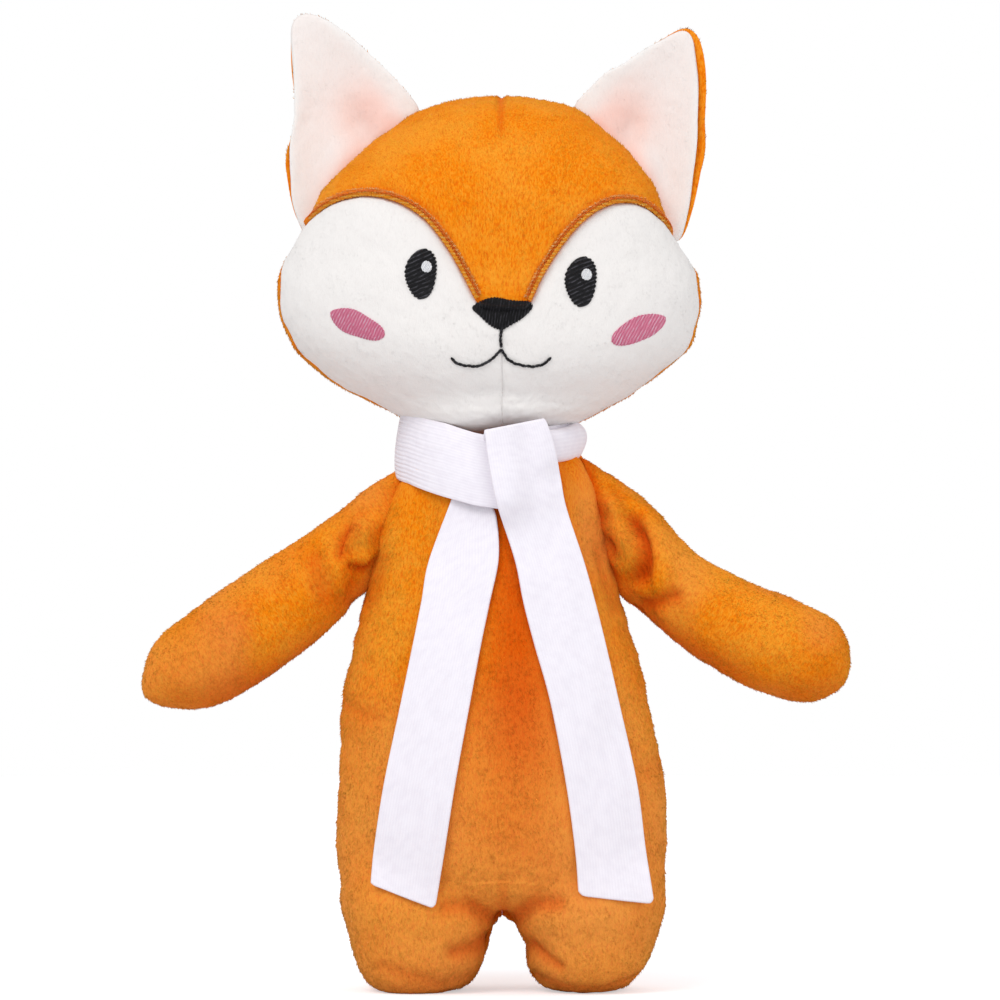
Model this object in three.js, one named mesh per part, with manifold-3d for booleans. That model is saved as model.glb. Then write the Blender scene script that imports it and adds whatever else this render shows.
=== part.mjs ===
// Plush fox, standing, with a knotted scarf. Millimetres, +Z up, the face looks along -Y.
// It stands on the floor at z = 0, with the origin at the middle of the floor that it covers.
// Right and left are the toy's own.
import * as THREE from 'three';
import { mergeVertices } from 'three/addons/utils/BufferGeometryUtils.js';
import Module from 'manifold-3d';

const wasm = await Module();
wasm.setup();

// Cloth and seams
const plushThickness = 2.2;
const seamGap = 0.3;
const stuffingGap = 0.5;
const overrun = 20;
const halfSpaceSize = 900;
const mergeTolerance = 1e-5;

// Trunk, one stuffed bag that runs down into both legs
const trunkBottom = 21.5;
const trunkHeight = 137;
const trunkHalfWidth = 46.9;
const trunkLean = -1.8;

// Legs
const legHeight = 56.5;
const legHalfWidth = 21.8;
const legSpacing = 23.8;
const soleCut = 0.5;

// Head
const neckGap = 2.4;
const headHeight = 95.3;
const headHalfWidth = 61.2;
const headLean = -3.4;

// Neck, a firm roll of stuffing that the head turns and nods on
const neckRollRadius = 10;
const neckBallRadius = 13;
const neckPivotRise = 15;
const neckRollDepth = 21;
const neckPassRadius = 14.6;

// Embroidery on the face
const stitchLow = 0.3;
const eyeHeight = 0.9;
const glintHeight = 0.6;
const noseHeight = 1.3;
const blushHeight = 0.6;
const mouthHeight = 0.7;
const eyeHalfWidth = 4.75;
const eyeHalfHeight = 7.45;
const eyeOut = 22.6;
const eyeUp = 41.7;
const glintRadius = 1.5;
const glintOut = 2.2;
const glintUp = 2.6;
const noseHalfWidth = 8.9;
const noseTall = 8.8;
const noseUp = 35.5;
const mouthLine = 1.1;
const mouthStem = 5.2;
const mouthReach = 14.6;
const mouthDrop = 4.4;
const mouthEndRise = 2.4;
const blushHalfLength = 7.4;
const blushHalfWidth = 3.4;
const blushOut = 39.8;
const blushUp = 28.3;

// Ears
const earGap = 0.7;
const earThickness = 2.2;
const earEdgeThickness = 1;
const earCup = 3.6;
const earPanelGap = 0.6;
const earBulge = 3.2;
const earOut = { right: 13.6, left: 17.9 };
const earRise = { right: 44.9, left: 40.5 };

// Arms, sewn into the side seams below the trunk's top
const armHalfWidth = 13.8;
const armLength = { right: 82, left: 78 };
const armSeamTopBelow = 14;
const armSeamBottomBelow = 47.5;
const armRootTaper = 17;
const armSquareUp = 42;

// A sewn root is two layers of plush thick and turns about its seam
const rootHalf = 1.7;
const rootEdgeHalf = 0.3;
const rootGap = 0.4;

// Tail, sewn into the back seam
const tailHalfWidth = 16;
const tailLength = 76;
const tailSeamTop = 72;
const tailSeamBottom = 52;
const tailRootTaper = 22;
const tailSquareUp = 24;
const tailTipLength = 26;

// Scarf, one ribbon sewn as a flat tube and tied round the trunk's top
const ribbonThickness = 1.8;
const bandOut = -2.4;
const bandHalfWidth = 26.4;
const bandHalfDepth = 25;
const bandBelow = 9.5;
const bandSideLift = 4.5;
const bandBackLift = 2.4;
const bandHalfHeight = 9.4;
const bandRollHalfHeight = 4.5;
const bandSpread = 3.2;
const bandRollThickness = 3;
const knotTopAbove = 2.7;
const knotBottomBelow = 16.9;
const knotTopOut = 5.2;
const knotBottomOut = 8.4;
const knotTopHalfWidth = 8.6;
const knotBottomHalfWidth = 9.8;
const knotThickness = 3.2;
const knotFold = 5;
const knotFoldLift = 1;
const ribbonGap = 0.7;
const scarfTails = {
    right: {
        topBelow: 21.1, topOut: -9.2, topHalf: 8.2,
        bottom: 28, bottomOut: -27.5, bottomHalf: 9.6, slant: -2.6,
    },
    left: {
        topBelow: 18.4, topOut: 9, topHalf: 9.4,
        bottom: 27, bottomOut: 32, bottomHalf: 10.4, slant: -1.8,
    },
};

// Tables of shares, chosen by hand: half width, then height, from the bottom of each form to its top
const trunkOutlineShares = [
    [0, 0], [0.3, 0.004], [0.6, 0.018], [0.83, 0.045], [0.95, 0.085], [0.99, 0.135], [1, 0.21], [0.985, 0.3],
    [0.951, 0.4], [0.904, 0.493], [0.853, 0.588], [0.8, 0.668], [0.735, 0.756], [0.67, 0.843], [0.612, 0.902],
    [0.555, 0.935], [0.46, 0.966], [0.32, 0.987], [0.16, 0.997], [0, 1],
];
const trunkFrontShares = [[0, 0.56], [0.2, 0.61], [0.5, 0.64], [0.8, 0.69], [0.93, 0.77], [1, 0.82]];
const trunkBackShares = [[0, 0.56], [0.2, 0.6], [0.5, 0.62], [0.8, 0.67], [0.93, 0.76], [1, 0.82]];
const legOutlineShares = [
    [0, 0], [0.36, 0.001], [0.52, 0.019], [0.66, 0.06], [0.79, 0.135], [0.855, 0.21], [0.905, 0.285],
    [0.97, 0.36], [1, 0.47], [0.95, 0.64], [0.74, 0.83], [0.4, 0.965], [0, 1],
];
const legDepthShares = [
    [0, 1.6], [0.02, 1.52], [0.06, 1.42], [0.135, 1.33], [0.285, 1.24], [0.47, 1.18], [0.65, 1.12], [1, 1.1],
];
const headOutlineShares = [
    [0, 0], [0.24, 0.008], [0.51, 0.055], [0.78, 0.145], [0.925, 0.235], [0.985, 0.325], [1, 0.415],
    [0.965, 0.505], [0.92, 0.595], [0.85, 0.685], [0.735, 0.775], [0.58, 0.865], [0.38, 0.95],
    [0.17, 0.99], [0, 1],
];
const headFrontShares = [[0, 0.82], [0.14, 0.68], [0.42, 0.6], [0.7, 0.66], [0.9, 0.8], [1, 0.86]];
const headBackShares = [[0, 0.8], [0.14, 0.66], [0.42, 0.57], [0.7, 0.63], [0.9, 0.78], [1, 0.86]];
const armOutlineShares = [
    [0, 0.93], [0.25, 0.98], [0.5, 1], [0.72, 1], [0.84, 0.975], [0.915, 0.85], [0.975, 0.5], [1, 0],
];
const tailOutlineShares = [
    [0, 0.66], [0.15, 0.72], [0.35, 0.9], [0.55, 1], [0.72, 0.93], [0.86, 0.68], [0.96, 0.32], [1, 0],
];
// The brow line, from beside the nose over the eye to the side seam: half width, then height
const browShares = [
    [0.145, 0.364], [0.165, 0.402], [0.195, 0.448], [0.233, 0.492], [0.281, 0.537], [0.337, 0.581],
    [0.41, 0.626], [0.5, 0.665], [0.597, 0.684], [0.695, 0.68], [0.814, 0.651], [1.1, 0.56],
];
const faceSkewShare = -0.035;
const earRootShares = { top: 0.868, bottom: 0.585 };
const earCrownShare = 0.75;
const earTipShare = 0.985;
const earCupFadeShare = 0.5;
const noseCornerShare = 0.333;
const noseChinShare = 0.333;
const smileShares = { nearOut: 0.25, nearDrop: 1.35, farOut: 0.75, farDrop: 1.2 };
const mouthForkShare = 1.3;
const bellyShare = 0.25;
const knotEdgeShare = 0.25;
const earEdgeShare = 4;
const earRootFillShare = 4;
const earTipFillShare = 6;
const knotRoundShare = 3;
const scarfDrapeShare = 0.25;
const knotFoldShare = 0.87;

// Angles, in degrees
const armDropRight = 34.4;
const armDropLeft = 32.2;
const tailDrop = 28;
const blushTilt = 21;

// Counts and section roundness
const trunkMesh = { columns: 24, rows: 18, power: 2.15 };
const legMesh = { columns: 12, rows: 10, power: 2.4 };
const headMesh = { columns: 26, rows: 17, power: 2.2 };
const liningMesh = { columns: 14, rows: 10 };
const legLiningMesh = { columns: 8, rows: 6 };
const armMesh = { columns: 12, rows: 12 };
const armLiningMesh = { columns: 8, rows: 6 };
const earMesh = { across: 7, along: 6 };
const ribbonMesh = { across: 3, along: 10 };
const roundSteps = 16;
const bandSteps = 28;
const bandSectionSteps = 6;

const sides = { right: -1, left: 1 };

// Materials
const orangePlush = { color: 0xee8214, roughness: 0.95, metalness: 0 };
const whitePlush = { color: 0xf0eeeb, roughness: 0.95, metalness: 0 };
const fibreFill = { color: 0xf6f5f2, roughness: 1, metalness: 0 };
const blackThread = { color: 0x17161a, roughness: 0.55, metalness: 0 };
const whiteThread = { color: 0xf8f8fa, roughness: 0.5, metalness: 0 };
const pinkThread = { color: 0xc85f82, roughness: 0.6, metalness: 0 };
const whiteKnit = { color: 0xf1eff5, roughness: 0.85, metalness: 0 };

const part = new THREE.Group();
const hinges = [];

function noteHinge(name, point, axis) {
    hinges.push({ name, point, axis });
}

function addNode(name, solid, finish) {
    const mesh = new THREE.Mesh(geometryFrom(solid), new THREE.MeshStandardMaterial(finish));
    mesh.name = name;
    part.add(mesh);
    return mesh;
}

// Solids and geometry

function solidFrom(geometry) {
    const bare = geometry.clone();
    bare.deleteAttribute('normal');
    bare.deleteAttribute('uv');
    const merged = mergeVertices(bare, mergeTolerance);
    const corners = [];
    const index = merged.index.array;
    for (let i = 0; i < index.length; i += 3) {
        const [a, b, c] = [index[i], index[i + 1], index[i + 2]];
        if (a !== b && b !== c && c !== a) {
            corners.push(a, b, c);
        }
    }
    return new wasm.Manifold(new wasm.Mesh({
        numProp: 3,
        vertProperties: new Float32Array(merged.attributes.position.array),
        triVerts: new Uint32Array(corners),
    }));
}

function geometryFrom(solid) {
    const mesh = solid.getMesh();
    const geometry = new THREE.BufferGeometry();
    geometry.setAttribute('position', new THREE.BufferAttribute(mesh.vertProperties, 3));
    geometry.setIndex(new THREE.BufferAttribute(mesh.triVerts, 1));
    geometry.computeVertexNormals();
    return geometry;
}

function moveVertices(geometry, place) {
    const position = geometry.attributes.position;
    const point = new THREE.Vector3();
    for (let i = 0; i < position.count; i += 1) {
        point.fromBufferAttribute(position, i);
        const moved = place(point);
        position.setXYZ(i, moved.x, moved.y, moved.z);
    }
    return geometry;
}

function curveThrough(shares) {
    const keys = shares.map((pair) => pair[0]);
    const values = shares.map((pair) => pair[1]);
    const cubic = new THREE.CubicInterpolant(keys, values, 1);
    return (share) => cubic.evaluate(THREE.MathUtils.clamp(share, 0, keys[keys.length - 1]))[0];
}

function outlineFrom(shares, halfWidth, height, lift) {
    return new THREE.SplineCurve(
        shares.map(([wide, high]) => new THREE.Vector2(wide * halfWidth, lift + high * height)),
    );
}

// A slab from one plane outwards, to keep one side of a seam
function halfSpace(axis, sign, offset) {
    const geometry = new THREE.BoxGeometry(halfSpaceSize, halfSpaceSize, halfSpaceSize);
    const centre = new THREE.Vector3();
    centre[axis] = sign * (halfSpaceSize / 2 + offset);
    return solidFrom(geometry.translate(centre.x, centre.y, centre.z));
}

// A stuffed form: a unit sphere whose rows follow the outline and whose columns round off its section
function stuffedForm(form, inset = 0, mesh = form.mesh) {
    const unit = new THREE.SphereGeometry(1, mesh.columns, mesh.rows);
    return solidFrom(moveVertices(unit, (point) => {
        const share = 1 - Math.acos(THREE.MathUtils.clamp(point.y, -1, 1)) / Math.PI;
        const ring = Math.hypot(point.x, point.z);
        const pole = ring < mergeTolerance;
        const at = form.outline.getPointAt(share);
        const run = form.outline.getTangentAt(share);
        const outward = pole ? 0 : run.y;
        const upward = pole ? Math.sign(point.y) : -run.x;
        const high = at.y - inset * upward;
        const heightShare = (at.y - form.bottom) / form.height;
        const wide = pole ? 0 : Math.max(at.x - inset * outward, mergeTolerance);
        const depth = point.z > 0 ? form.front(heightShare) : form.back(heightShare);
        const deep = pole ? 0 : Math.max(at.x * depth - inset * outward, mergeTolerance);
        const round = (value) => Math.sign(value) * Math.abs(value) ** (2 / form.power);
        const across = pole ? 0 : round(point.x / ring);
        const along = pole ? 0 : round(point.z / ring);
        const lean = form.lean * Math.sin(Math.PI * THREE.MathUtils.clamp(heightShare, 0, 1));
        return new THREE.Vector3(form.centre + lean + wide * across, -deep * along, high);
    }));
}

const trunk = {
    outline: outlineFrom(trunkOutlineShares, trunkHalfWidth, trunkHeight, trunkBottom),
    front: curveThrough(trunkFrontShares),
    back: curveThrough(trunkBackShares),
    bottom: trunkBottom,
    height: trunkHeight,
    centre: 0,
    lean: trunkLean,
    power: trunkMesh.power,
    mesh: trunkMesh,
};
const legs = Object.values(sides).map((side) => ({
    outline: outlineFrom(legOutlineShares, legHalfWidth, legHeight, -soleCut),
    front: curveThrough(legDepthShares),
    back: curveThrough(legDepthShares),
    bottom: -soleCut,
    height: legHeight,
    centre: side * legSpacing,
    lean: 0,
    power: legMesh.power,
    mesh: legMesh,
}));
const trunkTop = trunkBottom + trunkHeight;
const headBottom = trunkTop + neckGap;
const armSeamTop = trunkTop - armSeamTopBelow;
const armSeamBottom = trunkTop - armSeamBottomBelow;
const knotTop = trunkTop + knotTopAbove;
const knotBottom = trunkTop - knotBottomBelow;
const head = {
    outline: outlineFrom(headOutlineShares, headHalfWidth, headHeight, headBottom),
    front: curveThrough(headFrontShares),
    back: curveThrough(headBackShares),
    bottom: headBottom,
    height: headHeight,
    centre: 0,
    lean: headLean,
    power: headMesh.power,
    mesh: headMesh,
};

// The trunk's half width at a height, and how far its front or back stands out there
const trunkWidthAt = curveThrough(trunkOutlineShares.map(([wide, high]) => [high, wide]));
function trunkSide(high, side) {
    const share = (high - trunkBottom) / trunkHeight;
    return trunkLean * Math.sin(Math.PI * share) + side * trunkHalfWidth * trunkWidthAt(share);
}
function trunkDepth(out, high, depthShares) {
    const share = (high - trunkBottom) / trunkHeight;
    const wide = trunkHalfWidth * trunkWidthAt(share);
    const off = Math.min(Math.abs(out - trunkLean * Math.sin(Math.PI * share)) / wide, 1);
    return wide * depthShares(share) * (1 - off ** trunk.power) ** (1 / trunk.power);
}

// Neck roll

const neckPivot = headBottom + neckPivotRise;
const neckFoot = trunkTop - neckRollDepth;

function neckSolid(extra) {
    const profile = new THREE.Path();
    const roll = neckRollRadius + extra;
    const ball = neckBallRadius + extra;
    profile.moveTo(0, neckFoot - extra);
    profile.lineTo(roll, neckFoot - extra);
    const join = -Math.acos(roll / ball);
    profile.lineTo(roll, neckPivot + ball * Math.sin(join));
    profile.absarc(0, neckPivot, ball, join, Math.PI / 2, false);
    const points = profile.getPoints(roundSteps / 2);
    points[points.length - 1].x = 0;
    return solidFrom(new THREE.LatheGeometry(points, roundSteps).rotateX(Math.PI / 2));
}

function upright(radius, low, high) {
    const rod = new THREE.CylinderGeometry(radius, radius, high - low, roundSteps);
    return solidFrom(rod.rotateX(Math.PI / 2).translate(0, 0, (low + high) / 2));
}

// Trunk cover in front, back right and back left, and its stuffing

function trunkForm(inset, bodyMesh, lobeMesh) {
    const all = legs.reduce(
        (sum, leg) => sum.add(stuffedForm(leg, inset, lobeMesh)),
        stuffedForm(trunk, inset, bodyMesh),
    );
    return all.intersect(halfSpace('z', 1, Math.max(inset, 0)));
}

const neckPass = neckSolid(stuffingGap);
const trunkCover = trunkForm(0, trunkMesh, legMesh)
    .subtract(trunkForm(plushThickness, liningMesh, legLiningMesh))
    .subtract(neckPass);
const frontHalf = halfSpace('y', -1, seamGap / 2);
const backHalf = halfSpace('y', 1, seamGap / 2);
addNode('trunk_front_panel', trunkCover.intersect(frontHalf), orangePlush);
for (const [name, side] of Object.entries(sides)) {
    const half = halfSpace('x', side, seamGap / 2);
    addNode(`trunk_back_panel_${name}`, trunkCover.intersect(backHalf).intersect(half), orangePlush);
}
const trunkFill = trunkForm(plushThickness + stuffingGap, liningMesh, legLiningMesh).subtract(neckPass);
addNode('trunk_stuffing', trunkFill, fibreFill);
addNode('neck_roll', neckSolid(0), fibreFill);

// Head cover and its stuffing

function facePoint(out, up) {
    return new THREE.Vector2(out, headBottom + up + faceSkewShare * out);
}

function browPoint(side, [wide, high]) {
    return facePoint(side * wide * headHalfWidth, high * headHeight);
}

// A shape seen from the front, as a prism that reaches forward through the face
function facePrism(points) {
    const shape = new THREE.Shape(points);
    const depth = headHalfWidth + overrun;
    const geometry = new THREE.ExtrudeGeometry(shape, { depth, bevelEnabled: false, steps: 1 });
    return solidFrom(geometry.rotateX(Math.PI / 2));
}

function grow(points, amount) {
    return points.map((point, i) => {
        const before = points[(i + points.length - 1) % points.length];
        const after = points[(i + 1) % points.length];
        const run = after.clone().sub(before).normalize();
        return new THREE.Vector2(point.x + run.y * amount, point.y - run.x * amount);
    });
}

function foreheadOutline() {
    const above = headBottom + headHeight + overrun;
    const right = browShares.map((share) => browPoint(sides.right, share)).reverse();
    const left = browShares.map((share) => browPoint(sides.left, share));
    const outRight = new THREE.Vector2(right[0].x, above);
    const outLeft = new THREE.Vector2(left[left.length - 1].x, above);
    return [...right, ...left, outLeft, outRight];
}

const ball = solidFrom(
    new THREE.SphereGeometry(neckBallRadius + stuffingGap, roundSteps, roundSteps / 2)
        .rotateX(Math.PI / 2).translate(0, 0, neckPivot),
);
const neckRoom = ball.add(upright(neckPassRadius, headBottom - overrun, neckPivot));
const headCover = stuffedForm(head)
    .subtract(stuffedForm(head, plushThickness, liningMesh))
    .subtract(neckRoom);
const headFront = headCover.intersect(frontHalf);
const forehead = foreheadOutline();
addNode('forehead_panel', headFront.intersect(facePrism(forehead)), orangePlush);
const faceCover = headFront.subtract(facePrism(grow(forehead, seamGap)));
for (const [name, side] of Object.entries(sides)) {
    addNode(`face_panel_${name}`, faceCover.intersect(halfSpace('x', side, seamGap / 2)), whitePlush);
}
for (const [name, side] of Object.entries(sides)) {
    const half = halfSpace('x', side, seamGap / 2);
    addNode(`head_back_panel_${name}`, headCover.intersect(backHalf).intersect(half), orangePlush);
}
const headFill = stuffedForm(head, plushThickness + stuffingGap, liningMesh).subtract(neckRoom);
addNode('head_stuffing', headFill, fibreFill);

// Embroidery: each patch is a slice of the skin just above the face, cut to its outline

function faceSkin(low, high) {
    return stuffedForm(head, -high).subtract(stuffedForm(head, -low)).intersect(frontHalf);
}

function ellipsePoints(centre, halfLength, halfWidth, tilt) {
    const turn = THREE.MathUtils.degToRad(tilt);
    const curve = new THREE.EllipseCurve(
        centre.x, centre.y, halfLength, halfWidth, 0, 2 * Math.PI, false, turn,
    );
    return curve.getPoints(roundSteps).slice(0, -1);
}

const eyeSkin = faceSkin(stitchLow, stitchLow + eyeHeight);
const glintLow = stitchLow + eyeHeight + seamGap;
const glintSkin = faceSkin(glintLow, glintLow + glintHeight);
const blushSkin = faceSkin(stitchLow, stitchLow + blushHeight);
for (const [name, side] of Object.entries(sides)) {
    const eye = facePoint(side * eyeOut, eyeUp);
    const glint = new THREE.Vector2(eye.x + glintOut, eye.y + glintUp);
    const blush = facePoint(side * blushOut, blushUp);
    const eyeShape = ellipsePoints(eye, eyeHalfWidth, eyeHalfHeight, 0);
    const glintShape = ellipsePoints(glint, glintRadius, glintRadius, 0);
    const blushShape = ellipsePoints(blush, blushHalfLength, blushHalfWidth, side * blushTilt);
    addNode(`eye_${name}`, eyeSkin.intersect(facePrism(eyeShape)), blackThread);
    addNode(`eye_glint_${name}`, glintSkin.intersect(facePrism(glintShape)), whiteThread);
    addNode(`blush_${name}`, blushSkin.intersect(facePrism(blushShape)), pinkThread);
}

function noseOutline() {
    const shape = new THREE.Shape();
    const top = headBottom + noseUp;
    const low = top - noseTall;
    const corner = noseTall * noseCornerShare;
    const chin = noseHalfWidth * noseChinShare;
    shape.moveTo(0, low);
    shape.quadraticCurveTo(chin, low, noseHalfWidth - corner / 2, top - corner);
    shape.quadraticCurveTo(noseHalfWidth + corner / 2, top, noseHalfWidth - corner, top);
    shape.lineTo(corner - noseHalfWidth, top);
    shape.quadraticCurveTo(-noseHalfWidth - corner / 2, top, corner / 2 - noseHalfWidth, top - corner);
    shape.quadraticCurveTo(-chin, low, 0, low);
    return shape.getPoints(roundSteps / 4).slice(0, -1);
}

const noseSkin = faceSkin(stitchLow, stitchLow + noseHeight);
addNode('nose', noseSkin.intersect(facePrism(noseOutline())), blackThread);

// The mouth is one line of stitches: down from the nose, then a smile to both sides
function mouthOutline() {
    const start = headBottom + noseUp - noseTall - seamGap;
    const fork = start - mouthStem;
    const half = mouthLine / 2;
    const smile = (side) => new THREE.CubicBezierCurve(
        new THREE.Vector2(0, fork),
        new THREE.Vector2(side * mouthReach * smileShares.nearOut, fork - mouthDrop * smileShares.nearDrop),
        new THREE.Vector2(side * mouthReach * smileShares.farOut, fork - mouthDrop * smileShares.farDrop),
        new THREE.Vector2(side * mouthReach, fork - mouthDrop + mouthEndRise),
    );
    const edge = (side, offset) => {
        const curve = smile(side);
        const count = roundSteps / 4;
        return Array.from({ length: count }, (_, i) => {
            const at = curve.getPoint((i + 1) / count);
            const run = curve.getTangent((i + 1) / count);
            const high = at.y + faceSkewShare * at.x;
            return new THREE.Vector2(at.x - side * run.y * offset, high + side * run.x * offset);
        });
    };
    return [
        new THREE.Vector2(half, start),
        new THREE.Vector2(-half, start),
        new THREE.Vector2(-half, fork),
        ...edge(sides.right, half),
        ...edge(sides.right, -half).reverse(),
        new THREE.Vector2(0, fork - mouthLine * mouthForkShare),
        ...edge(sides.left, -half),
        ...edge(sides.left, half).reverse(),
        new THREE.Vector2(half, fork),
    ];
}

const mouthSkin = faceSkin(stitchLow, stitchLow + mouthHeight);
addNode('mouth', mouthSkin.intersect(facePrism(mouthOutline())), blackThread);

// Ears: a lining in front and a back panel, both cupped, with a thin edge all round

function earRoot(side, share) {
    const along = THREE.MathUtils.lerp(earRootShares.top, earRootShares.bottom, share);
    const at = head.outline.getPointAt(along);
    const run = head.outline.getTangentAt(along);
    const lean = headLean * Math.sin(Math.PI * (at.y - headBottom) / headHeight);
    return new THREE.Vector2(lean + side * (at.x + run.y * earGap), at.y - run.x * earGap);
}

function earPanel(side, name, facing) {
    const unit = new THREE.BoxGeometry(1, 1, 1, earMesh.across, 1, earMesh.along);
    const middle = earRoot(side, 0).add(earRoot(side, 1)).divideScalar(2);
    const rise = new THREE.Vector2(side * earOut[name], earRise[name]);
    return solidFrom(moveVertices(unit, (point) => {
        const across = side * point.x + 1 / 2;
        const along = (point.z + 1 / 2) * earTipShare;
        const shrink = (1 - along) ** earCrownShare;
        const root = earRoot(side, across).sub(middle);
        const spot = middle.clone().addScaledVector(rise, along).addScaledVector(root, shrink);
        spot.x += side * earBulge * across * across * Math.sin(Math.PI * along);
        const off = 2 * across - 1;
        const ends = Math.min(1, earRootFillShare * along, earTipFillShare * (1 - along));
        const full = (1 - off ** earEdgeShare) * ends;
        const thick = THREE.MathUtils.lerp(earEdgeThickness, earThickness, full);
        const cup = earCup * (1 - off * off) * Math.sin(Math.PI * along) * (1 - along * earCupFadeShare);
        const near = cup + facing * earPanelGap / 2;
        const far = near + facing * thick;
        const deep = point.y * facing > 0 ? far : near;
        return new THREE.Vector3(spot.x, deep, spot.y);
    }));
}

for (const [name, side] of Object.entries(sides)) {
    addNode(`ear_lining_${name}`, earPanel(side, name, -1), whitePlush);
    addNode(`ear_back_${name}`, earPanel(side, name, 1), orangePlush);
    const low = earRoot(side, 1);
    const middle = earRoot(side, 0).add(low).divideScalar(2);
    const chord = low.sub(middle).normalize().multiplyScalar(side);
    noteHinge(
        `ear_fold_${name}`,
        new THREE.Vector3(middle.x, 0, middle.y),
        new THREE.Vector3(chord.x, 0, chord.y),
    );
}

// A limb sewn into a seam: it starts as a thin edge along the seam, then it fills out and rounds off.
// Locally it runs along X, its seam lies in the XZ plane and it is thick along Y.
function sewnLimb(limb, inset = 0, mesh = limb.mesh) {
    const unit = new THREE.SphereGeometry(1, mesh.columns, mesh.rows);
    const hollow = inset > 0;
    const start = hollow ? limb.hollowFrom : 0;
    const lead = hollow ? 1 : 2;
    return solidFrom(moveVertices(unit, (point) => {
        const row = Math.round(mesh.rows * Math.acos(THREE.MathUtils.clamp(-point.y, -1, 1)) / Math.PI);
        const ring = Math.hypot(point.x, point.z);
        const share = Math.max(0, row - lead) / (mesh.rows - lead);
        const edge = row < lead && !hollow;
        const at = limb.outline.getPointAt(THREE.MathUtils.lerp(start, 1, share));
        const run = limb.outline.getTangentAt(THREE.MathUtils.lerp(start, 1, share));
        const fill = THREE.MathUtils.smoothstep(at.x, 0, limb.taper);
        const tip = row === mesh.rows;
        const flat = row === 0 || tip;
        const wide = flat ? 0 : Math.max(at.y - inset * run.x, mergeTolerance);
        const thick = edge ? rootEdgeHalf : THREE.MathUtils.lerp(rootHalf, at.y * limb.roundness, fill);
        const deep = flat ? 0 : Math.max(thick - inset * run.x, mergeTolerance);
        const skew = limb.skew * Math.max(0, 1 - at.x / limb.squareUp);
        const across = flat ? 0 : wide * (point.x / ring);
        const along = at.x + inset * run.y + skew * across - (edge ? rootHalf : 0);
        return new THREE.Vector3(along, flat ? 0 : deep * (point.z / ring), across);
    }));
}

// Turns a local limb so that X runs along its axis and Z along the other given direction
function placed(solid, origin, forward, upward) {
    const sideways = upward.clone().cross(forward);
    const basis = new THREE.Matrix4().makeBasis(forward, sideways, upward).setPosition(origin);
    return solid.transform(basis.elements);
}

function seamLimb({ top, bottom, forward, length, halfWidth, shares, taper, squareUp, mesh, roundness }) {
    const seam = bottom.clone().sub(top);
    const origin = top.clone().add(bottom).divideScalar(2);
    const plane = new THREE.Vector3().crossVectors(seam, forward).normalize();
    const upward = new THREE.Vector3().crossVectors(forward, plane).normalize();
    const down = seam.clone().normalize();
    const outline = new THREE.SplineCurve(
        shares.map(([along, wide]) => new THREE.Vector2(along * length, wide * halfWidth)),
    );
    const skew = down.dot(forward) / down.dot(upward);
    const limb = { outline, taper, squareUp, skew, mesh, roundness, hollowFrom: taper / length };
    return { limb, origin, forward, upward, axis: down };
}

function onLimb(placedLimb, solid) {
    return placed(solid, placedLimb.origin, placedLimb.forward, placedLimb.upward);
}

// Arms

const rootOff = rootHalf + rootGap;
const armTurn = {
    right: THREE.MathUtils.degToRad(armDropRight),
    left: THREE.MathUtils.degToRad(armDropLeft),
};
for (const [name, side] of Object.entries(sides)) {
    const drop = armTurn[name];
    const arm = seamLimb({
        top: new THREE.Vector3(trunkSide(armSeamTop, side) + side * rootOff, 0, armSeamTop),
        bottom: new THREE.Vector3(trunkSide(armSeamBottom, side) + side * rootOff, 0, armSeamBottom),
        forward: new THREE.Vector3(side * Math.cos(drop), 0, -Math.sin(drop)),
        length: armLength[name],
        halfWidth: armHalfWidth,
        shares: armOutlineShares,
        taper: armRootTaper,
        squareUp: armSquareUp,
        mesh: armMesh,
        roundness: 1,
    });
    const cover = sewnLimb(arm.limb).subtract(sewnLimb(arm.limb, plushThickness, armLiningMesh));
    const core = sewnLimb(arm.limb, plushThickness + stuffingGap, armLiningMesh);
    addNode(`arm_front_panel_${name}`, onLimb(arm, cover).intersect(frontHalf), orangePlush);
    addNode(`arm_back_panel_${name}`, onLimb(arm, cover).intersect(backHalf), orangePlush);
    addNode(`arm_stuffing_${name}`, onLimb(arm, core), fibreFill);
    noteHinge(`arm_swing_${name}`, arm.origin, arm.axis.multiplyScalar(side));
}

// Tail

function tailSeamPoint(high) {
    return new THREE.Vector3(0, trunkDepth(0, high, trunk.back) + rootOff, high);
}

const tailTurn = THREE.MathUtils.degToRad(tailDrop);
const tail = seamLimb({
    top: tailSeamPoint(tailSeamTop),
    bottom: tailSeamPoint(tailSeamBottom),
    forward: new THREE.Vector3(0, Math.cos(tailTurn), -Math.sin(tailTurn)),
    length: tailLength,
    halfWidth: tailHalfWidth,
    shares: tailOutlineShares,
    taper: tailRootTaper,
    squareUp: tailSquareUp,
    mesh: armMesh,
    roundness: 1,
});
noteHinge('tail_wag', tail.origin, tail.axis);
const tailCover = sewnLimb(tail.limb).subtract(sewnLimb(tail.limb, plushThickness, armLiningMesh));
const tipSeam = tailLength - tailTipLength;
addNode('tail_cover', onLimb(tail, tailCover.intersect(halfSpace('x', -1, -tipSeam))), orangePlush);
addNode('tail_tip', onLimb(tail, tailCover.intersect(halfSpace('x', 1, tipSeam + seamGap))), whitePlush);
const tailFill = sewnLimb(tail.limb, plushThickness + stuffingGap, armLiningMesh);
addNode('tail_stuffing', onLimb(tail, tailFill), fibreFill);

// Scarf

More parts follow.
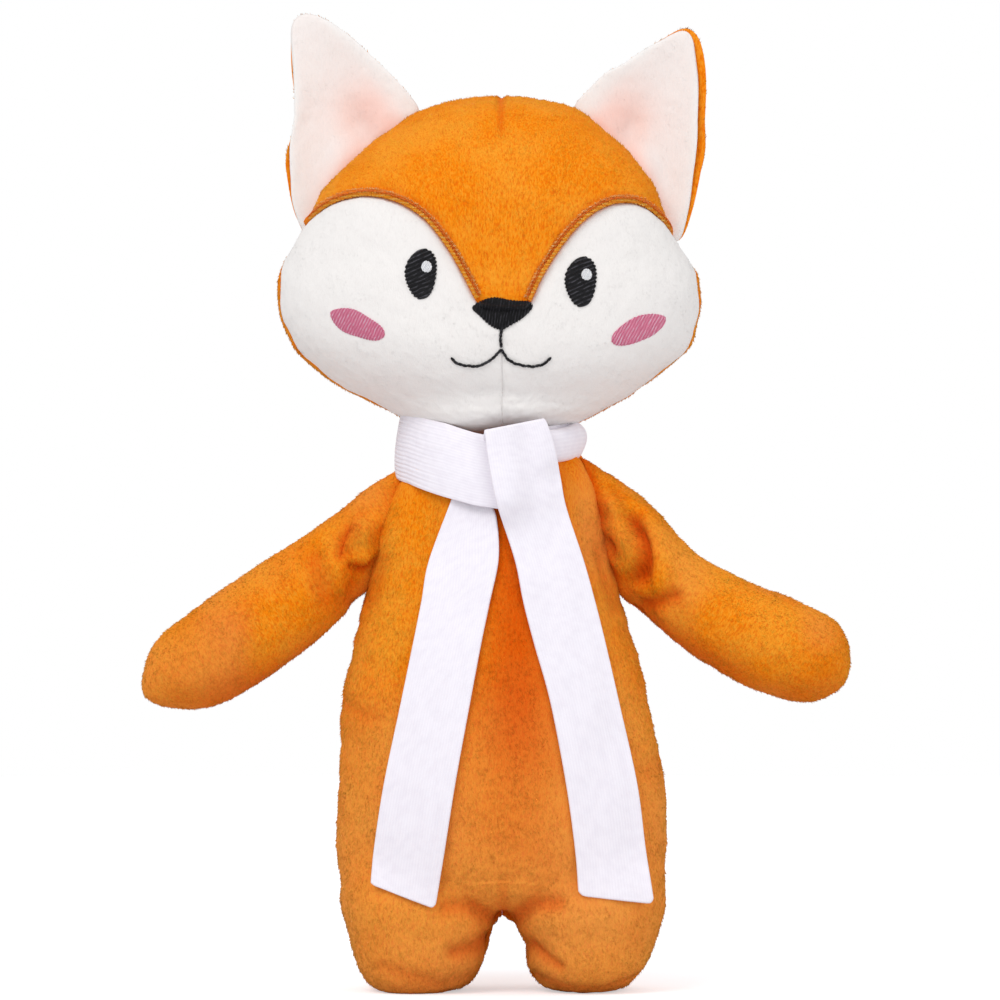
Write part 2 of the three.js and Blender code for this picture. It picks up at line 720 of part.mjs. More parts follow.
function bandSolid() {
    const section = new THREE.EllipseCurve(1, 0, 1 / 2, 1 / 2, 0, 2 * Math.PI, false, 0);
    const profile = section.getPoints(bandSectionSteps);
    const unit = new THREE.LatheGeometry(profile, bandSteps).rotateX(Math.PI / 2);
    return solidFrom(moveVertices(unit, (point) => {
        const ring = Math.hypot(point.x, point.y);
        const cos = point.x / ring;
        const sin = point.y / ring;
        const roll = (1 + cos) / 2;
        const thick = THREE.MathUtils.lerp(ribbonThickness, bandRollThickness, roll * roll);
        const flat = THREE.MathUtils.lerp(bandHalfHeight, bandRollHalfHeight, roll);
        const tall = flat + bandSpread * sin * sin;
        const off = thick * (ring - 1);
        const middle = trunkTop - bandBelow + bandSideLift * cos * cos + bandBackLift * (1 + sin) / 2;
        return new THREE.Vector3(
            bandOut + (bandHalfWidth + off) * cos,
            (bandHalfDepth + off) * sin,
            middle + 2 * tall * point.z,
        );
    }));
}

addNode('scarf_neckband', bandSolid().subtract(stuffedForm(trunk, -seamGap)), whiteKnit);

const bandFront = bandHalfDepth + ribbonThickness / 2 + ribbonGap;

function knotSolid() {
    const unit = new THREE.BoxGeometry(1, 1, 1, ribbonMesh.across, 1, ribbonMesh.along);
    return solidFrom(moveVertices(unit, (point) => {
        const share = point.z + 1 / 2;
        const over = THREE.MathUtils.smoothstep(share, knotFoldShare, 1);
        const out = THREE.MathUtils.lerp(knotBottomOut, knotTopOut, share);
        const half = THREE.MathUtils.lerp(knotBottomHalfWidth, knotTopHalfWidth, share);
        const bulge = knotThickness * (1 - knotEdgeShare * Math.abs(2 * point.x) ** knotRoundShare);
        const deep = bandFront + (1 / 2 - point.y) * bulge - over * knotFold;
        const lift = over * knotFoldLift * (1 / 2 - point.y);
        const high = THREE.MathUtils.lerp(knotBottom, knotTop, share) + lift;
        return new THREE.Vector3(out + 2 * half * point.x, -deep, high);
    }));
}

addNode('scarf_knot', knotSolid(), whiteKnit);

function scarfTailSolid(strip) {
    const unit = new THREE.BoxGeometry(1, 1, 1, ribbonMesh.across, 1, ribbonMesh.along);
    const belly = trunkBottom + trunkHeight * bellyShare;
    const depthAt = (out, high) => trunkDepth(out, Math.max(high, belly), trunk.front);
    return solidFrom(moveVertices(unit, (point) => {
        const share = 1 / 2 - point.z;
        const middle = THREE.MathUtils.lerp(strip.topOut, strip.bottomOut, share);
        const half = THREE.MathUtils.lerp(strip.topHalf, strip.bottomHalf, share);
        const out = middle + 2 * half * point.x;
        const slant = share * strip.slant * 2 * point.x * Math.sign(strip.bottomOut);
        const high = THREE.MathUtils.lerp(trunkTop - strip.topBelow, strip.bottom, share) - slant;
        const inner = middle - Math.sign(middle) * half;
        const nearest = Math.max(depthAt(inner, high), depthAt(out, high));
        const lain = THREE.MathUtils.lerp(nearest, depthAt(out, high), scarfDrapeShare) + ribbonGap;
        const hung = bandFront * (1 - share) ** 2;
        const back = Math.max(lain, hung);
        const deep = back + (1 / 2 - point.y) * ribbonThickness;
        return new THREE.Vector3(out, -deep, high);
    }));
}

for (const [name, strip] of Object.entries(scarfTails)) {
    addNode(`scarf_tail_${name}`, scarfTailSolid(strip), whiteKnit);
    const top = trunkTop - strip.topBelow;
    const point = new THREE.Vector3(strip.topOut, -bandFront - ribbonThickness / 2, top);
    noteHinge(`scarf_lift_${name}`, point, new THREE.Vector3(-1, 0, 0));
}

// The toy is set over the middle of the floor that it covers, and its hinge lines are printed there
noteHinge('neck_turn', new THREE.Vector3(0, 0, neckFoot), new THREE.Vector3(0, 0, 1));
noteHinge('head_nod', new THREE.Vector3(0, 0, neckPivot), new THREE.Vector3(1, 0, 0));
const middle = new THREE.Box3().setFromObject(part).getCenter(new THREE.Vector3());
part.position.set(-middle.x, -middle.y, 0);
for (const { name, point, axis } of hinges) {
    const place = point.clone().add(part.position).toArray().map((value) => value.toFixed(3));
    const along = axis.toArray().map((value) => value.toFixed(5));
    console.log(name, 'at', place.join(' '), 'along', along.join(' '));
}

export default part;
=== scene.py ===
"""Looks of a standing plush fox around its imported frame.

Sizes are millimetres on the toy's own upright axis: x to its left, y to its back, z up from the floor.
Right and left are the toy's own. TOY puts a finished mesh in the frame, in metres.
Widths, heights and creases were measured on one photo of the front; depths and the back are guessed."""
import math

import bmesh
import bpy
import numpy as np
from mathutils import Matrix, Vector
from mathutils.bvhtree import BVHTree


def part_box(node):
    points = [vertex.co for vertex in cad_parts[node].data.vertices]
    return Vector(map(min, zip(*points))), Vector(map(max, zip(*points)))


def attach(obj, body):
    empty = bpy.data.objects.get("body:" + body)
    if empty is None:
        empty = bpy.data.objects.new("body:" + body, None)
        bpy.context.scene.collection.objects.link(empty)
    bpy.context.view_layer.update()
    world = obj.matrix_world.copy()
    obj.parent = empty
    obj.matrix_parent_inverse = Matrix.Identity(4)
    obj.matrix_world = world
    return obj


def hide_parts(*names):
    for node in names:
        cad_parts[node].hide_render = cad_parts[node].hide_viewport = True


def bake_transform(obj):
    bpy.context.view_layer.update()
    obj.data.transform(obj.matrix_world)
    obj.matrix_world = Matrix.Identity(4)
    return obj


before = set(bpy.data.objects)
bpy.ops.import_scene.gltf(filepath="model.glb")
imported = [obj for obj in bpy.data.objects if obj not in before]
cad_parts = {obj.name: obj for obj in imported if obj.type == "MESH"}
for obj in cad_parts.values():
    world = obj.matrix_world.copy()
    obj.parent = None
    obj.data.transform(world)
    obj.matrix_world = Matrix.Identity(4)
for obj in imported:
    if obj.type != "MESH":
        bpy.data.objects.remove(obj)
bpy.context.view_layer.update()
neck_low, neck_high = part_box("neck_roll")
AXIS = (neck_low + neck_high) / 2
MM = 0.001
TOY = Matrix.Translation((AXIS.x, AXIS.y, 0)) @ Matrix.Scale(MM, 4)
SIDES = {"right": -1, "left": 1}

# Photo and camera
PHOTO_MIDDLE, PHOTO_FLOOR, PHOTO_PIXEL = 502, 990, 0.2863
CAMERA_AWAY = 2000
CAMERA_OUT = -0.6
CAMERA_UP = 140.3
VIEW_WIDTH = 286.3
SENSOR = 36

# Trunk and legs
TRUNK_BOTTOM = 21.5
TRUNK_HEIGHT = 137
TRUNK_HALF_WIDTH = 46.9
TRUNK_LEAN = -1.8
TRUNK_ROUND = 2.15
LEG_HEIGHT = 56.5
LEG_HALF_WIDTH = 21.8
LEG_SPACING = 23.8
LEG_ROUND = 2.4
SOLE_CUT = 0.5
TRUNK_OUTLINE = (
    (0, 0), (0.3, 0.004), (0.6, 0.018), (0.83, 0.045), (0.95, 0.085), (0.99, 0.135), (1, 0.21), (0.985, 0.3),
    (0.951, 0.4), (0.904, 0.493), (0.853, 0.588), (0.8, 0.668), (0.735, 0.756), (0.67, 0.843), (0.612, 0.902),
    (0.555, 0.935), (0.46, 0.966), (0.32, 0.987), (0.16, 0.997), (0, 1),
)
TRUNK_FRONT = ((0, 0.56), (0.2, 0.61), (0.5, 0.64), (0.8, 0.69), (0.93, 0.77), (1, 0.82))
TRUNK_BACK = ((0, 0.56), (0.2, 0.6), (0.5, 0.62), (0.8, 0.67), (0.93, 0.76), (1, 0.82))
LEG_OUTLINE = (
    (0, 0), (0.36, 0.001), (0.52, 0.019), (0.66, 0.06), (0.79, 0.135), (0.855, 0.21), (0.905, 0.285),
    (0.97, 0.36), (1, 0.47), (0.95, 0.64), (0.74, 0.83), (0.4, 0.965), (0, 1),
)
LEG_DEPTH = (
    (0, 1.6), (0.02, 1.52), (0.06, 1.42), (0.135, 1.33), (0.285, 1.24), (0.47, 1.18), (0.65, 1.12), (1, 1.1),
)

# Head
HEAD_BOTTOM = 160.9
HEAD_HEIGHT = 95.3
HEAD_HALF_WIDTH = 61.2
HEAD_LEAN = -3.4
HEAD_ROUND = 2.2
HEAD_OUTLINE = (
    (0, 0), (0.24, 0.008), (0.51, 0.055), (0.78, 0.145), (0.925, 0.235), (0.985, 0.325), (1, 0.415),
    (0.965, 0.505), (0.92, 0.595), (0.85, 0.685), (0.735, 0.775), (0.58, 0.865), (0.38, 0.95),
    (0.17, 0.99), (0, 1),
)
HEAD_FRONT = ((0, 0.82), (0.14, 0.68), (0.42, 0.6), (0.7, 0.66), (0.9, 0.8), (1, 0.86))
HEAD_BACK = ((0, 0.8), (0.14, 0.66), (0.42, 0.57), (0.7, 0.63), (0.9, 0.78), (1, 0.86))


def line_through(points, count=600):
    """A smooth line through a few points, as many close points and their share of its length."""
    knots = np.array(points, float)
    along = np.linspace(0, len(knots) - 1, count)
    i = np.minimum(along.astype(int), len(knots) - 2)
    f = (along - i)[:, None]
    before, here = knots[np.maximum(i - 1, 0)], knots[i]
    there, after = knots[i + 1], knots[np.minimum(i + 2, len(knots) - 1)]
    leave, arrive = (there - before) / 2, (after - here) / 2
    line = (2 * here - 2 * there + leave + arrive) * f**3
    line += (3 * there - 3 * here - 2 * leave - arrive) * f**2 + leave * f + here
    steps = np.linalg.norm(np.diff(line, axis=0), axis=1)
    share = np.concatenate([[0], np.cumsum(steps)]) / steps.sum()
    return line, share


class Form:
    """A stuffed form: an outline turned round its axis, flattened to an oval and leaning a little."""

    def __init__(self, outline, half_width, height, bottom, front, back, centre, lean, roundness):
        line, self.share = line_through([(w * half_width, bottom + h * height) for w, h in outline])
        self.wide, self.high = np.maximum(line[:, 0], 0), np.maximum.accumulate(line[:, 1])
        self.front = line_through(front)[0]
        self.back = line_through(back)[0]
        self.bottom, self.height, self.centre = bottom, height, centre
        self.lean, self.roundness = lean, roundness

    def level(self, high):
        return np.clip((high - self.bottom) / self.height, 0, 1)

    def leaning(self, high):
        return self.centre + self.lean * np.sin(np.pi * self.level(high))

    def half_width(self, high):
        return np.interp(high, self.high, self.wide)

    def half_depth(self, high, behind):
        level = self.level(high)
        front = np.interp(level, self.front[:, 0], self.front[:, 1])
        back = np.interp(level, self.back[:, 0], self.back[:, 1])
        return self.half_width(high) * np.where(behind, back, front)

    def wrap(self, unit, share=None, inset=0):
        """Lays the points of a unit sphere on the form, by their share of its height line."""
        if share is None:
            share = 1 - np.arccos(np.clip(unit[:, 2], -1, 1)) / np.pi
        high = np.interp(share, self.share, self.high)
        ring = np.maximum(np.hypot(unit[:, 0], unit[:, 1]), 1e-9)
        rounded = lambda v: np.sign(v) * np.abs(v) ** (2 / self.roundness)
        across, along = rounded(unit[:, 0] / ring), rounded(unit[:, 1] / ring)
        wide = np.maximum(np.interp(share, self.share, self.wide) - inset, 0)
        deep = np.maximum(self.half_depth(high, unit[:, 1] > 0) - inset, 0)
        return np.stack([self.leaning(high) + wide * across, deep * along, high], axis=1)

    def skin(self, out, high, behind=False):
        """How far the surface stands out in front or behind, at a point seen from the front."""
        wide = np.maximum(self.half_width(high), 1e-6)
        off = np.clip(np.abs(out - self.leaning(high)) / wide, 0, 1)
        deep = self.half_depth(high, behind)
        return deep * (1 - off**self.roundness) ** (1 / self.roundness)


TRUNK = Form(
    TRUNK_OUTLINE, TRUNK_HALF_WIDTH, TRUNK_HEIGHT, TRUNK_BOTTOM, TRUNK_FRONT, TRUNK_BACK, 0, TRUNK_LEAN,
    TRUNK_ROUND,
)
LEGS = [
    Form(
        LEG_OUTLINE, LEG_HALF_WIDTH, LEG_HEIGHT, -SOLE_CUT, LEG_DEPTH, LEG_DEPTH, side * LEG_SPACING, 0,
        LEG_ROUND,
    )
    for side in SIDES.values()
]
HEAD = Form(
    HEAD_OUTLINE, HEAD_HALF_WIDTH, HEAD_HEIGHT, HEAD_BOTTOM, HEAD_FRONT, HEAD_BACK, 0, HEAD_LEAN, HEAD_ROUND,
)


# Points and swells

def lumps(points, size, seed):
    """Soft random swells of one size, from -1 to 1, the same on every run."""
    place = points / size + 4096
    cell = np.floor(place).astype(np.int64)
    f = place - cell
    f = f * f * (3 - 2 * f)
    total = np.zeros(len(points))
    for corner in range(8):
        step = np.array([corner & 1, corner >> 1 & 1, corner >> 2 & 1])
        at = cell + step
        stirred = at[:, 0] * 73856093 ^ at[:, 1] * 19349663 ^ at[:, 2] * 83492791 ^ seed * 2654435761
        stirred = (stirred ^ stirred >> 13) * 1274126177 & 0xFFFFFFFF
        value = (stirred ^ stirred >> 16) % 65521 / 32760 - 1
        total += value * np.prod(np.where(step, f, 1 - f), axis=1)
    return total


def swells(points, seed, *layers):
    """Lumps of several sizes together, each layer given as its height and its size."""
    return sum(height * lumps(points, size, seed + k) for k, (height, size) in enumerate(layers))


def ridge(distance, width):
    """1 on a line and fading to 0 within about twice the width."""
    return np.exp(-((distance / width) ** 2))


def smooth(value, low, high):
    """0 below the low end and 1 above the high one, with an even slope in between."""
    f = np.clip((value - low) / (high - low), 0, 1)
    return f * f * (3 - 2 * f)


def away_from_path(points, path):
    """Each point's distance from a broken line, both seen from the front, as x and z."""
    best = np.full(len(points), 1e9)
    flat = points[:, [0, 2]]
    for a, b in zip(path[:-1], path[1:]):
        a, b = np.array(a, float), np.array(b, float)
        f = np.clip((flat - a) @ (b - a) / ((b - a) @ (b - a)), 0, 1)
        best = np.minimum(best, np.linalg.norm(flat - a - f[:, None] * (b - a), axis=1))
    return best


def directions(vectors, least=0.0):
    """Vectors brought to a length of 1."""
    return vectors / np.maximum(np.linalg.norm(vectors, axis=1), least)[:, None]


def get_points(mesh):
    flat = np.empty(len(mesh.vertices) * 3)
    mesh.vertices.foreach_get("co", flat)
    return flat.reshape(-1, 3)


def set_points(mesh, points):
    mesh.vertices.foreach_set("co", np.ascontiguousarray(points, dtype=np.float32).ravel())
    mesh.update()


def get_normals(mesh):
    flat = np.empty(len(mesh.vertices) * 3, np.float32)
    mesh.vertex_normals.foreach_get("vector", flat)
    return flat.reshape(-1, 3).astype(float)


def mark(mesh, name, values):
    """Keeps a number at each point for the materials and the pile to read."""
    layer = mesh.attributes.get(name) or mesh.attributes.new(name, "FLOAT", "POINT")
    layer.data.foreach_set("value", np.ascontiguousarray(values, dtype=np.float32))


def mark_places(mesh, name, places):
    """Keeps a place at each point, for a pattern that runs with the pile."""
    layer = mesh.attributes.get(name) or mesh.attributes.new(name, "FLOAT_VECTOR", "POINT")
    layer.data.foreach_set("vector", np.ascontiguousarray(places, dtype=np.float32).ravel())


def marked_places(mesh, name):
    values = np.zeros(len(mesh.vertices) * 3, np.float32)
    mesh.attributes[name].data.foreach_get("vector", values)
    return values.astype(float).reshape(-1, 3)


def marked(mesh, name):
    values = np.zeros(len(mesh.vertices), np.float32)
    if name in mesh.attributes:
        mesh.attributes[name].data.foreach_get("value", values)
    return values.astype(float)


# Meshes

def ball_mesh(name, columns, rows):
    """A unit ball with poles up and down."""
    shape = bmesh.new()
    bmesh.ops.create_uvsphere(shape, u_segments=columns, v_segments=rows, radius=1)
    return to_mesh(name, shape)


def to_mesh(name, shape):
    mesh = bpy.data.meshes.new(name)
    shape.to_mesh(mesh)
    shape.free()
    return mesh


def to_bmesh(mesh):
    shape = bmesh.new()
    shape.from_mesh(mesh)
    return shape


def faces_out(mesh, name):
    """The same mesh with all its faces looking out."""
    shape = to_bmesh(mesh)
    bmesh.ops.recalc_face_normals(shape, faces=shape.faces[:])
    return to_mesh(name, shape)


def with_modifiers(mesh, *steps):
    """The mesh after some modifiers, each given as its kind and its settings."""
    holder = bpy.data.objects.new("holder", mesh)
    bpy.context.scene.collection.objects.link(holder)
    for kind, settings in steps:
        modifier = holder.modifiers.new(kind.lower(), kind)
        for name, value in settings.items():
            setattr(modifier, name, value)
    depsgraph = bpy.context.evaluated_depsgraph_get()
    done = bpy.data.meshes.new_from_object(holder.evaluated_get(depsgraph))
    bpy.data.objects.remove(holder)
    return done


def cut(shape, point, normal):
    """Cuts away what lies beyond a plane and closes the cut."""
    everything = shape.verts[:] + shape.edges[:] + shape.faces[:]
    bmesh.ops.bisect_plane(
        shape, geom=everything, dist=1e-5, plane_co=point, plane_no=normal, clear_outer=True,
    )
    close(shape)


def close(shape):
    """Fills the open rims with flat faces."""
    rims = [edge for edge in shape.edges if edge.is_boundary]
    before = set(shape.faces)
    if rims:
        bmesh.ops.holes_fill(shape, edges=rims, sides=0)
    for face in shape.faces:
        if face not in before:
            face.smooth = False
            face.material_index = 0


def add_piece(name, mesh, material, body, replaced=(), blend=None):
    """Places a finished mesh, with its material, on the body that carries it, or on no body when it is given
    a blend.
    """
    mesh.name = name
    mesh.transform(TOY)
    mesh.materials.clear()
    mesh.materials.append(material)
    piece = bpy.data.objects.new(name, mesh)
    bpy.context.scene.collection.objects.link(piece)
    if blend:
        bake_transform(piece)
    else:
        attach(piece, body)
    if replaced:
        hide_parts(*replaced)
    return piece


# Pile

PILE_LENGTH = 1.2
PILE_RADIUS = 0.23
PILE_SUNK = 0.3
PILE_SHADING = 0.2
PILE_MOST = 49000
PILE_UPRIGHT, PILE_COMBED, PILE_CLUMPED, PILE_STRAY = 0.45, 0.9, 0.35, 0.15
PILE_LENGTHS = 0.7, 1.15
PILE_SHORTEST = 0.4
PILE_THICKNESSES = 0.75, 1.2
CLUMP_SIZE = 3
TONE_STRAY = LEAN_LIGHT = 0.6


def small_shape(make, **settings):
    """The points and triangles of a small shape that is repeated many times."""
    shape = bmesh.new()
    make(shape, **settings)
    bmesh.ops.triangulate(shape, faces=shape.faces[:])
    shape.verts.index_update()
    points = np.array([vert.co for vert in shape.verts])
    faces = np.array([[vert.index for vert in face.verts] for face in shape.faces])
    shape.free()
    return points, faces


def repeated(name, shape, starts, axes):
    """A mesh of many copies of a small shape, each with its own start and its own three axes."""
    points, faces = shape
    made = starts[:, None, :] + sum(points[None, :, k, None] * axes[k][:, None, :] for k in range(3))
    every = (faces[None] + np.arange(len(starts))[:, None, None] * len(points)).reshape(-1, 3)
    mesh = bpy.data.meshes.new(name)
    mesh.vertices.add(made.shape[0] * made.shape[1])
    mesh.vertices.foreach_set("co", made.astype(np.float32).ravel())
    mesh.loops.add(every.size)
    mesh.loops.foreach_set("vertex_index", every.astype(np.int32).ravel())
    mesh.polygons.add(len(every))
    mesh.polygons.foreach_set("loop_start", np.arange(0, every.size, 3, dtype=np.int32))
    mesh.update(calc_edges=True)
    mesh.shade_smooth()
    return mesh


TUFT = small_shape(
    bmesh.ops.create_cone, cap_ends=True, segments=3, radius1=1, radius2=0, depth=1,
    matrix=Matrix.Translation((0, 0, 0.5)),
)
STITCH = small_shape(bmesh.ops.create_uvsphere, u_segments=8, v_segments=6, radius=1)


def pile_mesh(name, cover, per_area, flow, seed, length=PILE_LENGTH, radius=PILE_RADIUS):
    """Tufts of pile all over a cover, where its nap is above 0, combed the way that flow says.

    They take most of their shading from the cover, so that the pile reads as one soft surface."""
    cover.calc_loop_triangles()
    count = len(cover.loop_triangles)
    corners = np.empty(count * 3, np.int32)
    cover.loop_triangles.foreach_get("vertices", corners)
    corners = corners.reshape(-1, 3)
    owner = np.empty(count, np.int32)
    cover.loop_triangles.foreach_get("polygon_index", owner)
    flat = np.zeros(len(cover.polygons), bool)
    cover.polygons.foreach_get("use_smooth", flat)
    points, normals, nap = get_points(cover), get_normals(cover), marked(cover, "nap")
    a, b, c = (points[corners[:, k]] for k in range(3))
    area = np.linalg.norm(np.cross(b - a, c - a), axis=1) / 2
    weight = area * flat[owner] * nap[corners].mean(axis=1)
    random = np.random.default_rng(seed)
    wanted = int(weight.sum() * per_area)
    chosen = corners[random.choice(count, wanted, p=weight / weight.sum())]
    mix = random.dirichlet((1, 1, 1), wanted)
    root = (points[chosen] * mix[:, :, None]).sum(axis=1)
    up = directions((normals[chosen] * mix[:, :, None]).sum(axis=1))
    comb = flow(root)
    comb = directions(comb - (comb * up).sum(axis=1)[:, None] * up, 1e-6)
    clump = np.stack([lumps(root, CLUMP_SIZE, seed + k) for k in range(3)], axis=1)
    clump -= (clump * up).sum(axis=1)[:, None] * up
    stray = random.normal(size=(wanted, 3))
    lean = directions(PILE_UPRIGHT * up + PILE_COMBED * comb + PILE_CLUMPED * clump + PILE_STRAY * stray)
    shown = directions(up + PILE_SHADING * lean)
    side = directions(np.cross(lean, random.normal(size=(wanted, 3))))
    other = np.cross(lean, side)
    full = PILE_SHORTEST + (1 - PILE_SHORTEST) * (nap[chosen] * mix).sum(axis=1)
    tall = length * random.uniform(*PILE_LENGTHS, wanted) * full
    thick = radius * random.uniform(*PILE_THICKNESSES, wanted)
    start = root - up * PILE_SUNK
    axes = side * thick[:, None], other * thick[:, None], lean * tall[:, None]
    # Each tuft's lightness: a random part, and painted light and shade by its lean, darker for tufts leaning
    # to the toy's left, away from the key light, and lighter for those leaning to its right.
    tone_and_lean_light = TONE_STRAY * random.uniform(-1, 1, wanted) - LEAN_LIGHT * clump[:, 0]
    # Each tuft takes the painted shade and the paler mix of the cover under it.
    painted_shade_and_patches, tint_and_painted_light = ((marked(cover, layer)[chosen] * mix).sum(axis=1) for layer in ("painted_shade_and_patches", "tint_and_painted_light"))
    strand = (marked_places(cover, "strand")[chosen] * mix[:, :, None]).sum(axis=1)
    each = len(TUFT[0])
    made = []
    for first in range(0, wanted, PILE_MOST):
        some = slice(first, min(wanted, first + PILE_MOST))
        mesh = repeated(name, TUFT, start[some], [axis[some] for axis in axes])
        mark(mesh, "tip", np.tile(TUFT[0][:, 2], some.stop - some.start))
        for attribute, values in (("tone_and_lean_light", tone_and_lean_light), ("painted_shade_and_patches", painted_shade_and_patches), ("tint_and_painted_light", tint_and_painted_light)):
            mark(mesh, attribute, np.repeat(values[some], each))
        mark_places(mesh, "strand", np.repeat(strand[some], each, axis=0))
        mesh.normals_split_custom_set_from_vertices(np.repeat(shown[some], each, axis=0))
        made.append(mesh)
    return made


# Materials

BANDS_TO_ONE = 0.314


def node(tree, kind, inputs=None, **settings):
    made = tree.nodes.new(kind)
    for name, value in settings.items():
        setattr(made, name, value)
    for name, value in (inputs or {}).items():
        if isinstance(value, bpy.types.NodeSocket):
            tree.links.new(value, made.inputs[name])
        else:
            made.inputs[name].default_value = value
    return made


def colour_of(red, green, blue):
    """An sRGB colour of 0 to 255 as Blender's linear one."""
    linear = [v / 255 / 12.92 if v <= 10 else ((v / 255 + 0.055) / 1.055) ** 2.4 for v in (red, green, blue)]
    return (*linear, 1)


def new_material(name, roughness, sheen, sheen_roughness, gloss):
    material = bpy.data.materials.new(name)
    material.use_nodes = True
    surface = material.node_tree.nodes["Principled BSDF"]
    for socket, value in (
        ("Roughness", roughness), ("Sheen Weight", sheen), ("Sheen Roughness", sheen_roughness),
        ("Specular IOR Level", gloss),
    ):
        surface.inputs[socket].default_value = value
    return material, material.node_tree, surface


def mixed(tree, factor, a, b):
    """Colour a turned into colour b by a factor."""
    mix = node(tree, "ShaderNodeMix", data_type="RGBA")
    for socket, value in (("Factor", factor), ("A", a), ("B", b)):
        place = next(s for s in mix.inputs if s.name == socket and (s.type == "RGBA" or socket == "Factor"))
        if isinstance(value, bpy.types.NodeSocket):
            tree.links.new(value, place)
        else:
            place.default_value = value
    return next(s for s in mix.outputs if s.type == "RGBA")


def ranged(tree, value, low, high, to_low, to_high):
    made = node(tree, "ShaderNodeMapRange", {"Value": value})
    for name, number in (("From Min", low), ("From Max", high), ("To Min", to_low), ("To Max", to_high)):
        made.inputs[name].default_value = number
    return made.outputs["Result"]


def layered(tree, base, *layers):
    """A colour under layers of others, each laid on by a value and its range."""
    for value, low, high, to_low, to_high, colour in layers:
        base = mixed(tree, ranged(tree, value, low, high, to_low, to_high), base, colour)
    return base


def read(tree, name, output="Fac"):
    """What a mesh keeps at its points under a name."""
    return node(tree, "ShaderNodeAttribute", attribute_name=name).outputs[output]


def noise(tree, place, scale, detail):
    settings = {"Vector": place, "Scale": scale, "Detail": detail}
    return node(tree, "ShaderNodeTexNoise", settings).outputs["Fac"]


def bands(tree, place, width, bend, detail, direction, detail_scale=1.0):
    """Soft bands side by side, each as wide as given, on the place's own scale."""
    settings = {"Vector": place, "Scale": BANDS_TO_ONE / width, "Distortion": bend, "Detail": detail}
    settings["Detail Scale"] = detail_scale
    return node(tree, "ShaderNodeTexWave", settings, bands_direction=direction).outputs["Fac"]


def turned_by(tree, place, scale=(1, 1, 1), turn=0):
    settings = {"Vector": place, "Scale": scale, "Rotation": (0, math.radians(turn), 0)}
    return node(tree, "ShaderNodeMapping", settings).outputs["Vector"]


def joined(tree, a, b, operation):
    return node(tree, "ShaderNodeMath", {0: a, 1: b}, operation=operation).outputs[0]


def bumped(tree, height, strength, distance, **under):
    settings = {"Height": height, "Strength": strength, "Distance": distance, **under}
    return node(tree, "ShaderNodeBump", settings).outputs["Normal"]


def surfaced(tree, surface, base, normal):
    tree.links.new(base, surface.inputs["Base Color"])
    tree.links.new(normal, surface.inputs["Normal"])


def plush(name, colours, sheen, contrast):
    """Short plush: painted light on the tips, painted shade at the roots and in the folds, streaks along the
    strands, with a patchy nap.
    """
    light, middle, dark, tint_and_painted_light = [colour_of(*colour) for colour in colours]
    material, tree, surface = new_material(name, 0.9, sheen, 0.5, 0.1)
    surface.inputs["Sheen Tint"].default_value = light
    strand = read(tree, "strand", "Vector")
    lengthwise = turned_by(tree, strand, (1, 1, 0.36))
    patches = noise(tree, strand, 0.055, 3)
    streaks = noise(tree, lengthwise, 2.1, 3)
    tone_and_lean_light, tip, painted_shade_and_patches, tint_and_light_share = [read(tree, layer) for layer in ("tone_and_lean_light", "tip", "painted_shade_and_patches", "tint_and_painted_light")]
    base = layered(
        tree, middle,
        (patches, 0.42, 0.6, 0, 0.7 * contrast, light),
        (streaks, 0.5, 0.66, 0, 0.75 * contrast, light),
        (streaks, 0.5, 0.34, 0, 0.75 * contrast, dark),
        (tone_and_lean_light, 0, 1, 0, 0.35 * contrast, light),
        (tone_and_lean_light, 0, -1, 0, 0.35 * contrast, dark),
        # Painted light on the tufts' tips, and painted shade at their roots and on the cover under the pile,
        # which has no tip mark.
        (tip, 0.45, 1, 0, 0.35, light),
        (tip, 0, 0.7, 0.3, 0, dark),
    )
    # First the paler mix, which is painted sheen and painted warm shade in some places and paler nap in
    # others, then the painted shade where a cover is marked for it.
    base = layered(tree, mixed(tree, tint_and_light_share, base, tint_and_painted_light), (painted_shade_and_patches, 0, 1, 0, 0.9, dark))
    rough = joined(tree, streaks, noise(tree, lengthwise, 3.5, 2), "ADD")
    surfaced(tree, surface, base, bumped(tree, rough, 0.6 * contrast, 0.0005))
    return material


def thread(name, colours, across, pitch=1.1):
    """Satin stitches side by side, at an angle to the level, each of a few fine strands."""
    colour, shade, lit = [colour_of(*rgb) for rgb in colours]
    material, tree, surface = new_material(name, 0.5, 0.1, 0.3, 0.3)
    turned = turned_by(tree, node(tree, "ShaderNodeTexCoord").outputs["Object"], turn=across)
    stitches, strands = [
        bands(tree, turned, width * MM, bend, 2, "Z", 0.8) for width, bend in ((pitch, 2.5), (pitch / 3, 1.5))
    ]
    flecks = noise(tree, turned_by(tree, turned, (0.35, 1, 1)), 1500, 2)
    glints = joined(tree, flecks, stitches, "MULTIPLY")
    # Painted shade between the stitches and between their strands, and painted glints in random flecks on the
    # stitches.
    base = layered(
        tree, colour, (stitches, 0.1, 0.6, 1, 0, shade), (strands, 0.1, 0.5, 0.3, 0, shade),
        (glints, 0.4, 0.58, 0, 0.9, lit),
    )
    surfaced(tree, surface, base, bumped(tree, joined(tree, stitches, strands, "ADD"), 0.8, 0.0004))
    return material


